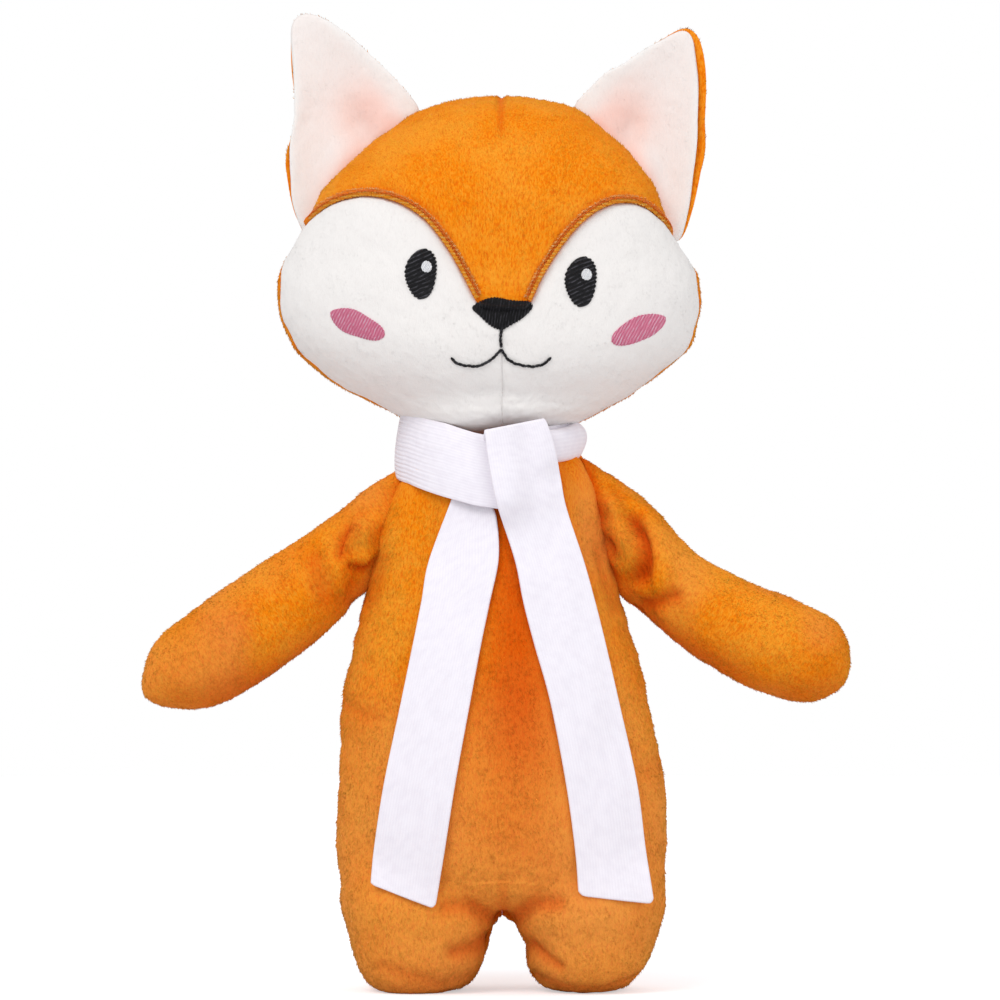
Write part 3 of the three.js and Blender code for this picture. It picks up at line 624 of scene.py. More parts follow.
def knit(name, colours):
    """Fine knitted ribbon: courses across and wales along, on the ribbon's own map in millimetres."""
    colour, shade = [colour_of(*rgb) for rgb in colours]
    material, tree, surface = new_material(name, 0.75, 0.2, 0.4, 0.25)
    place = node(tree, "ShaderNodeUVMap", uv_map="ribbon").outputs["UV"]
    wales = bands(tree, place, 0.8, 0.7, 1, "X")
    grain = noise(tree, turned_by(tree, place, (1, 2.2, 1)), 1.3, 2)
    loops = joined(tree, wales, grain, "MULTIPLY")
    slub = noise(tree, place, 0.35, 4)
    ribs = joined(tree, bands(tree, place, 1.25, 0.6, 1, "X"), read(tree, "rib"), "MULTIPLY")
    # Painted shade between the loops, in the ribs and where a ribbon is marked for it; the slubs are the
    # yarn's own unevenness.
    base = layered(
        tree, colour, (loops, 0.1, 0.5, 0.12, 0, shade), (ribs, 0.2, 0.8, 0, 0.2, shade),
        (slub, 0.42, 0.68, 0, 0.16, shade), (read(tree, "painted_shade_and_patches"), 0, 1, 0, 0.8, shade),
    )
    fine = bumped(tree, loops, 0.14, 0.0002)
    surfaced(tree, surface, base, bumped(tree, ribs, 0.6, 0.0004, Normal=fine))
    return material


ORANGE_PLUSH = plush(
    "orange_plush", ((255, 188, 60), (252, 151, 6), (216, 72, 0), (238, 154, 80)), 0.06, 0.64,
)
WHITE_PLUSH = plush(
    "white_plush", ((248, 244, 240), (244, 240, 236), (228, 222, 217), (243, 206, 195)), 0.05, 0.24,
)
# Each thread is given as its colour, its painted shade and its painted glints.
BLACK_THREAD = thread("black_thread", ((24, 22, 26), (5, 4, 6), (80, 78, 84)), 24)
NOSE_THREAD = thread("nose_thread", ((16, 14, 18), (4, 3, 5), (62, 60, 66)), 80, 0.8)
WHITE_THREAD = thread("white_thread", ((255, 255, 255), (246, 246, 250), (255, 255, 255)), 60)
PINK_THREAD = thread("pink_thread", ((252, 148, 178), (236, 114, 150), (255, 210, 226)), 62, 0.8)
BRIGHT_THREAD = thread("bright_thread", ((255, 174, 40), (250, 144, 14), (255, 204, 110)), 0)
DARK_THREAD = thread("dark_thread", ((246, 122, 18), (228, 96, 6), (252, 160, 70)), 0)
PALE_THREAD = thread("pale_thread", ((255, 178, 92), (248, 150, 60), (255, 214, 150)), 0)
WHITE_KNIT = knit("white_knit", ((247, 242, 248), (212, 203, 216)))


# Where the scarf's tails and band lie on the trunk, as seen from the front

BAND_EDGE = 139, 143
RIBBONS = {
    "right": dict(top=150, top_out=-6, top_half=8.4, bottom=28, bottom_out=-27.5, bottom_half=9.6),
    "left": dict(top=162.4, top_out=5.6, top_half=8.6, bottom=27, bottom_out=32, bottom_half=10.4),
}


def photo(px, py):
    """A place in the photo as millimetres out and up, in the plane of the seams."""
    return (px - PHOTO_MIDDLE) * PHOTO_PIXEL, (PHOTO_FLOOR - py) * PHOTO_PIXEL


def faced(px, py, ahead):
    """A place in the photo on a surface that stands that far in front of the plane of the seams."""
    out, up = photo(px, py)
    nearer = 1 - ahead / CAMERA_AWAY
    return CAMERA_OUT + (out - CAMERA_OUT) * nearer, CAMERA_UP + (up - CAMERA_UP) * nearer


def under_ribbon(points):
    """1 where a hanging ribbon or the neck band lies on the trunk."""
    covered = smooth(points[:, 2], *BAND_EDGE)
    for ribbon in RIBBONS.values():
        share = np.clip((ribbon["top"] - points[:, 2]) / (ribbon["top"] - ribbon["bottom"]), 0, 1)
        middle = ribbon["top_out"] + (ribbon["bottom_out"] - ribbon["top_out"]) * share
        half = ribbon["top_half"] + (ribbon["bottom_half"] - ribbon["top_half"]) * share
        inside = smooth(half + 0.3 - np.abs(points[:, 0] - middle), -0.6, 0.4)
        inside *= (points[:, 1] < 0) & (points[:, 2] > ribbon["bottom"] - 1)
        covered = np.maximum(covered, inside)
    return covered


# Trunk

CREASE_SHADE = 0.34


def creased(points, creases):
    """What each crease of the front adds: its push in or out, and its shade.

    A crease is a path traced on the photo, its depth and its width. A depth below 0 makes a swell."""
    for path, depth, width in creases:
        line = [photo(*place) for place in path]
        near = ridge(away_from_path(points, line), width) * (points[:, 1] <= 0)
        yield -depth * near, np.clip(CREASE_SHADE * depth, 0, 1) * near


TRUNK_CREASES = (
    ([(506, 918), (530, 902), (556, 898)], 1.5, 2.4),
    ([(499, 918), (472, 903), (448, 902)], 1.3, 2.4),
    ([(503, 915), (503, 880)], 0.9, 2.2),
    ([(527, 943), (543, 954), (558, 962)], 1.5, 1.8),
    ([(534, 973), (560, 984), (602, 985), (640, 974)], 1.0, 1.6),
    ([(486, 934), (474, 943), (456, 948)], 1.6, 2.6),
    ([(478, 968), (440, 980), (385, 962)], 0.7, 2.0),
    ([(372, 600), (378, 580), (386, 560)], 0.8, 2.2),
    ([(622, 606), (612, 580), (604, 550)], 0.8, 2.2),
    ([(346, 700), (362, 712), (376, 716)], 0.7, 2.6),
    ([(655, 760), (640, 772)], 0.6, 2.6),
)


SIDE_FILL = {
    -1: (
        (18, 0), (28, 1.1), (36, 1.2), (46, 0), (60, -0.3), (71, -0.3), (78, 0.9), (86, 1.4), (94, 1.1),
        (112, 1), (130, 1.6), (145, 1.3), (152, 0),
    ),
    1: (
        (8, 0.6), (20, 1), (34, 1.3), (44, 0.9), (52, 1.4), (60, 2), (66, 1.6), (78, 0.5), (90, 0),
        (97, -1), (104, -2.3), (114, -2.7), (130, -2.5), (142, -1.7), (150, -1.2), (156, 0),
    ),
}


TRUNK_VOXEL = 1.5
TRUNK_SMOOTHING = 12
BETWEEN_LEGS = 16
CROTCH = 32
SEAM_WIDTH = 1.3
SIDE_SEAM_SUNK = 1.0
BACK_SEAM_SUNK = 0.9
PUCKER, PUCKER_REACH = 0.15, 6
GATHER, GATHERS_ROUND, GATHER_FROM, GATHER_TO = 0.7, 13, 128, 150
CHEST_MIDDLE, CHEST_HALF_WIDTH = 4.5, 13


def chest_shade(x, z):
    """The chest between the scarf's tails is in shade, most of all high up."""
    across = ridge(x - CHEST_MIDDLE, CHEST_HALF_WIDTH)
    return 0.85 * (across * (0.3 + 0.7 * smooth(z, 45, 88)) * smooth(z, 20, 45))


def trunk_cover():
    """The trunk and both legs as one closed skin, with its seams, creases and gathers."""
    shape = bmesh.new()
    for form in (TRUNK, *LEGS):
        ball = ball_mesh("ball", 96, 72)
        set_points(ball, form.wrap(get_points(ball), inset=0.1))
        shape.from_mesh(ball)
    mesh = with_modifiers(
        to_mesh("trunk", shape),
        ("REMESH", dict(mode="VOXEL", voxel_size=TRUNK_VOXEL)),
        ("SMOOTH", dict(factor=0.5, iterations=TRUNK_SMOOTHING)),
        ("SUBSURF", dict(levels=1, render_levels=1)),
    )
    points, normals = get_points(mesh), get_normals(mesh)
    x, y, z = points.T
    facing_left, facing_up = normals[:, 0], normals[:, 2]
    out = swells(points, 1, (0.8, 34), (0.4, 14), (0.16, 2.6), (0.12, 1.3))
    for side, table in SIDE_FILL.items():
        heights, depths = np.array(table, float).T
        out += np.interp(z, heights, depths) * smooth(side * facing_left, 0.3, 0.9) * (side * x > 0)
    between = (np.abs(x) < BETWEEN_LEGS) * (z < CROTCH)
    out -= 1.5 * ridge(z - 13, 5) * smooth(-facing_left, 0.3, 0.9) * between * (x > 0)
    out += 1.1 * smooth(z, 24, 17) * smooth(facing_left, 0.3, 0.9) * between * (x < 0)
    out += 1.2 * smooth(z, 15, 20) * smooth(-facing_up, 0.2, 0.8) * between * (np.abs(x) < 10)
    side_seam = ridge(y, SEAM_WIDTH)
    back_seam = ridge(x, SEAM_WIDTH) * (y > 0)
    out -= SIDE_SEAM_SUNK * side_seam + BACK_SEAM_SUNK * back_seam
    out += PUCKER * ridge(y, PUCKER_REACH) * np.sin(z / 1.7 + 2 * lumps(points, 12, 5))
    gathers = np.sin(GATHERS_ROUND * np.arctan2(y, x) + 2 * lumps(points, 20, 6))
    out += GATHER * smooth(z, GATHER_FROM, GATHER_TO) * gathers
    front = y < 0
    # Painted shade in the sunk seams, on the chest between the scarf's tails and in the creases of the front.
    painted_shade_and_patches = np.maximum(0.6 * np.maximum(side_seam, back_seam), chest_shade(x, z) * front)
    for push, shade in creased(points, TRUNK_CREASES):
        out += push
        painted_shade_and_patches = np.maximum(painted_shade_and_patches, shade)
    points = points + normals * out[:, None]
    x, y, z = points.T
    sole = smooth(z, 1.6, 0.4)
    points[:, 2] = np.maximum(z, 0.05)
    set_points(mesh, points)
    mark(mesh, "painted_shade_and_patches", painted_shade_and_patches)
    # Paler on the front: towards the bottom and in random patches, and a painted sheen high on the trunk's
    # left side.
    paler_and_sheen = 0.45 * smooth(z, 105, 40) + 0.25 * lumps(points, 26, 8)
    paler_and_sheen += 0.3 * smooth(x, 18, 24) * smooth(z, 112, 128)
    mark(mesh, "tint_and_painted_light", np.clip(paler_and_sheen, 0, 1) * front)
    mark(mesh, "nap", (1 - under_ribbon(points)) * (1 - sole))
    mesh.shade_smooth()
    return mesh


def panel_of(mesh, name, *cuts):
    """One panel of a cover: what is left of the cover after its cuts, closed again."""
    shape = to_bmesh(mesh)
    for point, normal in cuts:
        cut(shape, point, normal)
    return to_mesh(name, shape)


SEAM = 0.01
FRONT = (0, -SEAM, 0), (0, 1, 0)
BEHIND = (0, SEAM, 0), (0, -1, 0)
HALVES = {name: ((side * SEAM, 0, 0), (-side, 0, 0)) for name, side in SIDES.items()}


def downwards(points):
    """The pile lies down, and a little away from the middle so that it parts there."""
    return np.stack([0.004 * points[:, 0], 0 * points[:, 1], np.full(len(points), -1.0)], axis=1)


def add_cover(
    name, mesh, material, slot, body, replaced, flow, seed, blend=None, per_area=3.2, fill=0.7, **pile,
):
    """A stuffed panel and its pile."""
    if "strand" not in mesh.attributes:
        mark_places(mesh, "strand", get_points(mesh))
    tufts = pile_mesh(name + "_pile", mesh, per_area, flow, seed, **pile)
    add_piece(name, mesh, material, body, replaced, blend=blend)
    for number, some in enumerate(tufts):
        add_piece(f"{name}_pile_{number + 1}", some, material, body, (), blend=blend)


trunk = trunk_cover()
add_cover(
    "trunk_front", panel_of(trunk, "trunk_front", FRONT), ORANGE_PLUSH, "orange_plush", "trunk",
    ("trunk_front_panel", "trunk_stuffing"), downwards, 11,
)
for name, half in HALVES.items():
    add_cover(
        f"trunk_back_{name}", panel_of(trunk, f"trunk_back_{name}", BEHIND, half), ORANGE_PLUSH,
        "orange_plush", "trunk", (f"trunk_back_panel_{name}",), downwards, 12 + SIDES[name], per_area=2.2,
    )


# Neck

NECK_RADIUS = 12.6
NECK_MIDDLE = 160.5
NECK_HALF_HEIGHT = 11


def neck():
    """The wad in the neck: a ball drawn out to a short drum with round edges."""
    mesh = ball_mesh("neck", 64, 40)
    unit = get_points(mesh)
    level = np.sign(unit[:, 2]) * np.abs(unit[:, 2]) ** 0.5
    points = np.stack(
        [unit[:, 0] * NECK_RADIUS, unit[:, 1] * NECK_RADIUS, NECK_MIDDLE + NECK_HALF_HEIGHT * level], axis=1,
    )
    ring = np.maximum(np.hypot(unit[:, 0], unit[:, 1]), 1e-6)
    points[:, :2] *= np.minimum(1, 1.25 * ring)[:, None] / ring[:, None]
    points += get_normals(mesh) * swells(points, 31, (0.3, 6), (0.12, 1.5))[:, None]
    set_points(mesh, points)
    mesh.shade_smooth()
    return mesh


neck_mesh = neck()
mark_places(neck_mesh, "strand", get_points(neck_mesh))
add_piece("neck", neck_mesh, ORANGE_PLUSH, "neck", ("neck_roll",))


# Head

HEAD_COLUMNS = 320
HEAD_ROWS = 200
SEAM_AHEAD = 0.15
CHIN_FULL = 4.5
CHIN_DROP = 1.4
EYE_PLACES = {"right": faced(421.3, 274.4, 34), "left": faced(581.3, 282, 34)}
BLUSH_PLACES = {"right": faced(357.2, 324.5, 27), "left": faced(638.8, 329.2, 27)}
NOSE_PLACE = faced(502.4, 314.4, 38)
NOSE_UP = 35.5
NOSE_HIGH = HEAD_BOTTOM + NOSE_UP
PINCH = {
    -1: ((209, 0), (216.7, 2.6), (222.5, 3.4), (227.7, 2.3), (233, 1.8), (238, 1.6), (243, 1.1), (250, 0)),
    1: (
        (164, 0.6), (169, 1.8), (173, 3.4), (177.5, 2.5), (183, 0.4), (187, 0), (205, 0), (211, 2.4),
        (216.2, 5.2), (223.4, 5.5), (229, 3.9), (234.4, 3.4), (239, 2.6), (244, 1.6), (252, 0),
    ),
}
BROW_AHEAD = 31
BROW_EDGE = (
    (284, 229), (303, 215), (318, 206.5), (332, 201), (344, 198), (356, 196), (368, 196), (380, 197.5),
    (392, 201), (404, 206), (416, 213.5), (428, 224), (440, 239), (452, 257), (464, 278.5), (475, 300),
    (484, 309), (522, 311), (531, 303), (542, 279), (554, 259), (566, 242), (578, 228), (590, 217),
    (602, 209), (614, 204), (626, 202), (638, 202.5), (650, 206.5), (664, 214), (682, 226), (706, 243),
)
BROW_LINE = line_through([faced(*point, BROW_AHEAD) for point in BROW_EDGE])[0]


BROW_GUESS = HEAD_BOTTOM + 0.6 * HEAD_HEIGHT
SPAN, SPAN_STEPS = 66, 800


def brow_height(out):
    return np.interp(out, BROW_LINE[:, 0], BROW_LINE[:, 1])


def brow_slope(out):
    outs = np.linspace(-SPAN, SPAN, SPAN_STEPS)
    return np.interp(out, outs, np.gradient(brow_height(outs), 2 * SPAN / (SPAN_STEPS - 1)))


def seam_ahead(high):
    """How far the head's side seam lies in front of its middle, as a turn round its axis."""
    return SEAM_AHEAD * smooth(high, 164, 172) * smooth(high, 212, 202)


def brow_round(unit, ring, around):
    """How high the brow line runs at each turn round the head, found step by step.

    Behind, it goes evenly from one side's height to the other's."""
    brow = np.full(len(unit), BROW_GUESS)
    for _ in range(40):
        turned = np.cos(around - seam_ahead(brow) * np.cos(around))
        across = np.sign(turned) * np.abs(turned) ** (2 / HEAD_ROUND)
        brow = 0.6 * brow + 0.4 * brow_height(HEAD.leaning(brow) + HEAD.half_width(brow) * across)
    rims = []
    for side in (-1, 1):
        rim = BROW_GUESS
        for _ in range(25):
            rim = 0.4 * rim + 0.6 * brow_height(HEAD.leaning(rim) + HEAD.half_width(rim) * side)
        rims.append(rim)
    blend = (1 + unit[:, 0] / ring) / 2
    return np.where(unit[:, 1] > 1e-6, rims[0] * (1 - blend) + rims[1] * blend, brow)


def head_nap(points, from_brow, front):
    """Where the head has pile: not under the embroidery, along the brow or in the neck's opening."""
    x, _, z = points.T
    bare = [
        (centre[0], centre[1], half_out, half_up)
        for name in SIDES
        for centre, half_out, half_up in ((EYE_PLACES[name], 4.4, 7), (BLUSH_PLACES[name], 7, 4.2))
    ]
    nap = np.ones(len(points))
    for out, up, half_out, half_up in (*bare, (0, NOSE_HIGH - 4, 8.6, 4.8)):
        off = np.hypot((x - out) / half_out, (z - up) / half_up)
        nap = np.where(front, nap * smooth(off, 0.8, 1.1), nap)
    nap *= 1 - smooth(from_brow, -0.2, 0.1) * smooth(from_brow, 2.4, 1.9) * front
    return nap * smooth(z, HEAD_BOTTOM + 0.6, HEAD_BOTTOM + 2)


def head_cover():
    """The head's closed skin before it is cut into panels, and the unit ball that it was laid from."""
    mesh = ball_mesh("head", HEAD_COLUMNS, HEAD_ROWS)
    unit = get_points(mesh)
    ring = np.maximum(np.hypot(unit[:, 0], unit[:, 1]), 1e-9)
    around = np.arctan2(unit[:, 1], unit[:, 0])
    behind, front = unit[:, 1] > 1e-6, unit[:, 1] < 1e-6
    above = (unit[:, 2] > -1e-6) & front
    brow = brow_round(unit, ring, around)
    split = np.interp(brow, HEAD.high, HEAD.share)
    share = 1 - np.arccos(np.clip(unit[:, 2], -1, 1)) / np.pi
    laid = np.where(share < 0.5, 2 * share * split, 1 - 2 * (1 - share) * (1 - split))
    ahead = seam_ahead(np.interp(laid, HEAD.share, HEAD.high))
    turn = around - ahead * np.cos(around)
    warped = np.stack([ring * np.cos(turn), ring * np.sin(turn), unit[:, 2]], axis=1)
    points = HEAD.wrap(warped, laid, inset=0.5)
    for side, table in PINCH.items():
        heights, depths = np.array(table, float).T
        on_side = smooth(side * (points[:, 0] - HEAD.leaning(points[:, 2])), 10, 30)
        points[:, 0] -= side * np.interp(points[:, 2], heights, depths) * ridge(points[:, 1], 15) * on_side
    set_points(mesh, points)
    normals = get_normals(mesh)
    x, y, z = points.T
    from_brow = (z - brow) / np.sqrt(1 + brow_slope(x) ** 2)
    out = swells(points, 21, (0.7, 32), (0.3, 13), (0.14, 2.6), (0.1, 1.3))
    rim = smooth(from_brow, -0.1, 0.5) * above
    lifted = 0.25 + 0.75 * ridge(from_brow - 0.9, 0.8) - 0.35 * ridge(from_brow - 2.1, 0.6)
    out += rim * lifted - 0.5 * ridge(from_brow, 0.5) * front
    middle = x - 0.3
    chin = ridge(middle, 1.1) * front * smooth(z, NOSE_HIGH - 8, NOSE_HIGH - 14)
    dart = ridge(middle + 0.6, 1.0) * above * smooth(z, 240, 247)
    back = ridge(middle, 1.2) * behind
    off_seam = y + ahead * HEAD.half_depth(z, False)
    side_seam = ridge(off_seam, 1.2)
    out -= 0.35 * chin + 0.55 * dart + 0.9 * back + 0.7 * side_seam
    out += (1.1 + 1.3 * ridge(x + 17, 12)) * smooth(z, 168, 161.5)
    out += 0.3 * ridge(off_seam, 6) * np.sin(z / 1.8 + 2 * lumps(points, 12, 25))
    out -= 0.8 * ridge(middle, 5) * ridge(z - NOSE_HIGH + 15, 9) * front
    points = points + normals * out[:, None]
    full = smooth(points[:, 2], 171, 163.5) * ridge(points[:, 0] + 2, 30) * smooth(-points[:, 1], 3, 12)
    points[:, 1] -= CHIN_FULL * full
    points[:, 2] -= CHIN_DROP * full * ridge(points[:, 0] + 12, 9)
    set_points(mesh, points)
    # Painted shade in the chin seam, the dart, the back and side seams, and along the forehead's edge above
    # the brow.
    dark = np.maximum.reduce([0.08 * chin, 0.5 * dart, 0.5 * back, 0.35 * side_seam])
    mark(mesh, "painted_shade_and_patches", np.maximum(dark, 0.5 * ridge(from_brow - 1, 1.4) * above))
    mark(mesh, "nap", head_nap(points, from_brow, front))
    mesh.shade_smooth()
    return mesh, unit


def head_panel(mesh, unit, name, keep, end, *cuts):
    """One panel of the head: its faces, then a wall inwards from its rim, and a flat end on that."""
    shape = to_bmesh(mesh)
    shape.verts.ensure_lookup_table()
    gone = [face for face in shape.faces if not keep(sum(unit[vert.index] for vert in face.verts))]
    bmesh.ops.delete(shape, geom=gone, context="FACES")
    for face in shape.faces:
        face.smooth = True
    rims = [edge for edge in shape.edges if edge.is_boundary]
    made = bmesh.ops.extrude_edge_only(shape, edges=rims)["geom"]
    centre = np.mean([vert.co for vert in shape.verts], axis=0)
    for vert in made:
        if isinstance(vert, bmesh.types.BMVert):
            vert.co.x += 0.4 * (centre[0] - vert.co.x)
            vert.co.z += 0.4 * (centre[2] - vert.co.z)
            vert.co.y = end
        elif isinstance(vert, bmesh.types.BMFace):
            vert.smooth = False
    close(shape)
    for point, normal in cuts:
        cut(shape, point, normal)
    bmesh.ops.recalc_face_normals(shape, faces=shape.faces[:])
    return to_mesh(name, shape)


def from_nose(points):
    """The pile of the face is combed outwards from the nose."""
    return np.stack([points[:, 0], 0 * points[:, 1], points[:, 2] - HEAD_BOTTOM - NOSE_UP], axis=1)


FACE_PILE = dict(length=0.8, radius=0.17, per_area=2.8)


head, head_unit = head_cover()
add_cover(
    "forehead", head_panel(head, head_unit, "forehead", lambda at: at[1] < 0 and at[2] > 0, -0.5),
    ORANGE_PLUSH, "orange_plush", "head", ("forehead_panel", "head_stuffing"), from_nose, 41,
)
for name, half in HALVES.items():
    add_cover(
        f"face_{name}",
        head_panel(head, head_unit, f"face_{name}", lambda at: at[1] < 0 and at[2] < 0, -0.5, half),
        WHITE_PLUSH, "white_plush", "head", (f"face_panel_{name}",), from_nose, 42 + SIDES[name],
        **FACE_PILE,
    )
    add_cover(
        f"head_back_{name}",
        head_panel(head, head_unit, f"head_back_{name}", lambda at: at[1] > 0, 0.5, half), ORANGE_PLUSH,
        "orange_plush", "head", (f"head_back_panel_{name}",), downwards, 46 + SIDES[name], per_area=2.2,
    )


# Ears

EAR_CUP = 4.2
EAR_THICK = 3.2
EAR_ROOTS = {
    "right": (
        (434, 118), (400, 125), (377, 142), (355, 161.5), (339.5, 177), (326, 196), (317, 216), (300, 252),
    ),
    "left": (
        (560, 117), (589.5, 121.5), (609.5, 138.5), (626, 155.5), (639.5, 175.5), (650.5, 191.5),
        (657, 214), (668, 240), (675, 262),
    ),
}
EAR_UPPER_EDGES = {
    "right": ((434, 118), (414, 99), (388, 72), (369, 54.2), (349.7, 35.9), (324, 15.5)),
    "left": ((560, 117), (580, 98), (603, 75), (622.8, 64.4), (644.2, 49.1), (664, 37)),
}
EAR_OUTER_EDGES = {
    ("right", 1): (
        (300, 252), (298, 228), (293.5, 212), (289.5, 193), (286, 168), (287, 152), (291.5, 137),
        (295, 118), (294.5, 96), (291, 70), (289.4, 42),
    ),
    ("right", -1): (
        (303, 252), (301.5, 232), (298, 218), (293.5, 199), (292, 175), (291, 151.5), (292, 138),
        (294.7, 119), (294.5, 96), (292.5, 70), (289, 42),
    ),
    ("left", 1): (
        (675, 262), (684, 240), (689, 223), (695, 200), (700.5, 173), (704.5, 150), (705, 119),
        (706.5, 89), (706.5, 66), (705, 50),
    ),
    ("left", -1): (
        (671, 262), (678.5, 243), (682.5, 226), (688, 200), (691.7, 173), (695.5, 142), (697.2, 115),
        (698.5, 81), (696, 54),
    ),
}
EAR_TIP_BULGE = 4.3
EAR_ROOT_SUNK = 1.6
EAR_PILE = dict(length=0.85, radius=0.17, per_area=2.6)
EAR_HOLLOWS = {"right": (366, 112), "left": (622, 118)}


def traced(points, shares):
    """Places at shares along a smooth line traced on the photo, as millimetres out and up."""
    line, share = line_through([photo(*point) for point in points])
    return np.stack([np.interp(shares, share, line[:, k]) for k in (0, 1)], axis=-1)


def ear_panel(side, name, facing):
    """One panel of an ear: a ball pressed flat, squared, laid between the ear's edges and cupped."""
    mesh = ball_mesh("ear", 128, 56)
    unit = get_points(mesh)
    turn = np.arctan2(unit[:, 1], unit[:, 0])
    ring = np.hypot(unit[:, 0], unit[:, 1])
    square = (np.abs(np.cos(turn)) ** 6 + np.abs(np.sin(turn)) ** 6) ** (-1 / 6)
    across = np.clip((1 + side * ring * square * np.cos(turn)) / 2, 0, 1)
    along = np.clip((1 + ring * square * np.sin(turn)) / 2, 0, 1)
    edges = EAR_UPPER_EDGES[name], EAR_OUTER_EDGES[name, facing]
    upper, outer = [traced(edge, along) for edge in edges]
    feet, tips = [[traced(edge, np.array(end)) for edge in edges] for end in (0.0, 1.0)]
    root = traced(EAR_ROOTS[name], across)
    spot = upper + across[:, None] * (outer - upper)
    spot += (1 - along[:, None]) ** 1.6 * (root - feet[0] - across[:, None] * (feet[1] - feet[0]))
    way = np.array([-(tips[1] - tips[0])[1], (tips[1] - tips[0])[0]]) * side
    spot += EAR_TIP_BULGE * way / np.linalg.norm(way) * (along**3 * np.sin(np.pi * across))[:, None]
    inwards = np.stack([-side * np.ones(len(across)), -0.6 * np.ones(len(across))], axis=1)
    spot += EAR_ROOT_SUNK * inwards * smooth(along, 0.06, 0)[:, None]
    off = 2 * across - 1
    cup = EAR_CUP * (1 - off**2) * np.sin(np.pi * along) * (1 - along / 2)
    gather = ridge(across - 0.36, 0.07) * ridge(along - 0.16, 0.2)
    gather = gather - 0.5 * ridge(across - 0.55, 0.07) * ridge(along - 0.1, 0.15)
    cup += 2.0 * gather - 1.5 * smooth(along, 0.25, 0) * np.sin(np.pi * across)
    thick = EAR_THICK * np.abs(unit[:, 2]) ** 0.6 * np.where(unit[:, 2] > 0, 0.7, -0.1)
    points = np.stack([spot[:, 0], cup + facing * (0.2 + thick), spot[:, 1]], axis=1)
    set_points(mesh, points)
    mesh = faces_out(mesh, "ear")
    outer_side = unit[:, 2] > 0.02
    out = swells(points, 51, (0.3, 12), (0.1, 2.2), (0.06, 1.2))
    points = points + get_normals(mesh) * (out * outer_side)[:, None]
    set_points(mesh, points)
    # On the lining, painted warm shade in its hollow and along its root, over a faint rosy cast all over,
    # fading towards the side edges.
    hollow = photo(*EAR_HOLLOWS[name])
    pink_tint_and_shade = 0.85 * ridge(np.hypot(points[:, 0] - hollow[0], points[:, 2] - hollow[1]), 9)
    pink_tint_and_shade += 0.9 * ridge(along, 0.12) * np.sin(np.pi * across) + 0.14
    pink_tint_and_shade *= smooth(np.abs(off), 0.95, 0.6)
    # Painted shade in the gathers at the root.
    mark(mesh, "painted_shade_and_patches", 0.3 * np.clip(gather, 0, 1) * outer_side)
    mark(mesh, "tint_and_painted_light", np.clip(pink_tint_and_shade, 0, 1) if facing < 0 else 0 * pink_tint_and_shade)
    mark(mesh, "nap", outer_side * smooth(along, 0.03, 0.1))
    mesh.shade_smooth()
    return mesh


for name, side in SIDES.items():
    ends = traced(EAR_ROOTS[name], np.array(0.0)), traced(EAR_ROOTS[name], np.array(1.0))
    middle = (ends[0] + ends[1]) / 2
    normal = np.array([ends[1][1] - ends[0][1], ends[0][0] - ends[1][0]])
    normal *= np.sign(normal[1]) / np.linalg.norm(normal)
    start, end = middle + 0.5 * normal, middle + 9 * normal
    bend = "head", (start[0], 0, start[1]), (end[0], 0, end[1])

    def outwards(points, side=side):
        return np.tile(np.array([0.3 * side, 0, 0.95]), (len(points), 1))

    add_cover(
        f"ear_lining_{name}", ear_panel(side, name, -1), WHITE_PLUSH, "white_plush", f"ear_{name}",
        (f"ear_lining_{name}",), outwards, 55 + side, blend=bend, fill=0.2, **EAR_PILE,
    )
    add_cover(
        f"ear_back_{name}", ear_panel(side, name, 1), ORANGE_PLUSH, "orange_plush", f"ear_{name}",
        (f"ear_back_{name}",), outwards, 58 + side, blend=bend, fill=0.2, per_area=2.4,
    )


# Arms and tail

ARM_DROP = {"right": 34.4, "left": 32.2}
ARM_SEAM = 144.5, 111
ARM_OUTLINE = {
    "right": (
        (-2, 11.3, -7.4), (1, 12.8, -9.4), (4, 14.0, -11.3), (8, 14.9, -12.8), (13.5, 14.3, -13.5),
        (19, 14.2, -13.8), (28, 13.9, -14.1), (38, 14.0, -14.6), (46, 14.3, -14.8), (54, 14.3, -14.3),
        (60, 14.1, -13.7), (65, 13.7, -12.4), (70, 12.1, -10.2), (74, 9.2, -7.4), (77, 6.4, -4.4),
        (79, 3.4, -1.2), (79.7, 0.9, 0.9),
    ),
    "left": (
        (-2, 15.0, -11.2), (1, 15.4, -12.3), (4, 15.5, -13.5), (8.6, 14.5, -14.9), (12.3, 13.7, -15.4),
        (16, 12.6, -15.8), (20, 11.0, -16.2), (26, 9.9, -16.5), (31, 10.2, -16.7), (36, 10.9, -16.5),
        (41, 11.8, -16.3), (47, 13.2, -16), (53, 14.1, -15.4), (59, 14.6, -14.2), (64, 14.2, -12.9),
        (68, 12.3, -10.9), (71.5, 9, -8), (74, 5, -4.2), (75.4, 0.6, 0.6),
    ),
}
TAIL_OUTLINE = (
    (0, 10.6, -10.6), (11.4, 11.5, -11.5), (26.6, 14.4, -14.4), (41.8, 16, -16), (54.7, 14.9, -14.9),
    (65.4, 10.9, -10.9), (73, 5.1, -5.1), (76, 0, 0),
)
TAIL_DROP = 28
TAIL_LENGTH = 76
TAIL_SEAM = 72, 52
TAIL_TIP_LENGTH = 26
ROOT_OFF = 2.1
BEND_BEFORE, BEND_AFTER = 0.8, 13


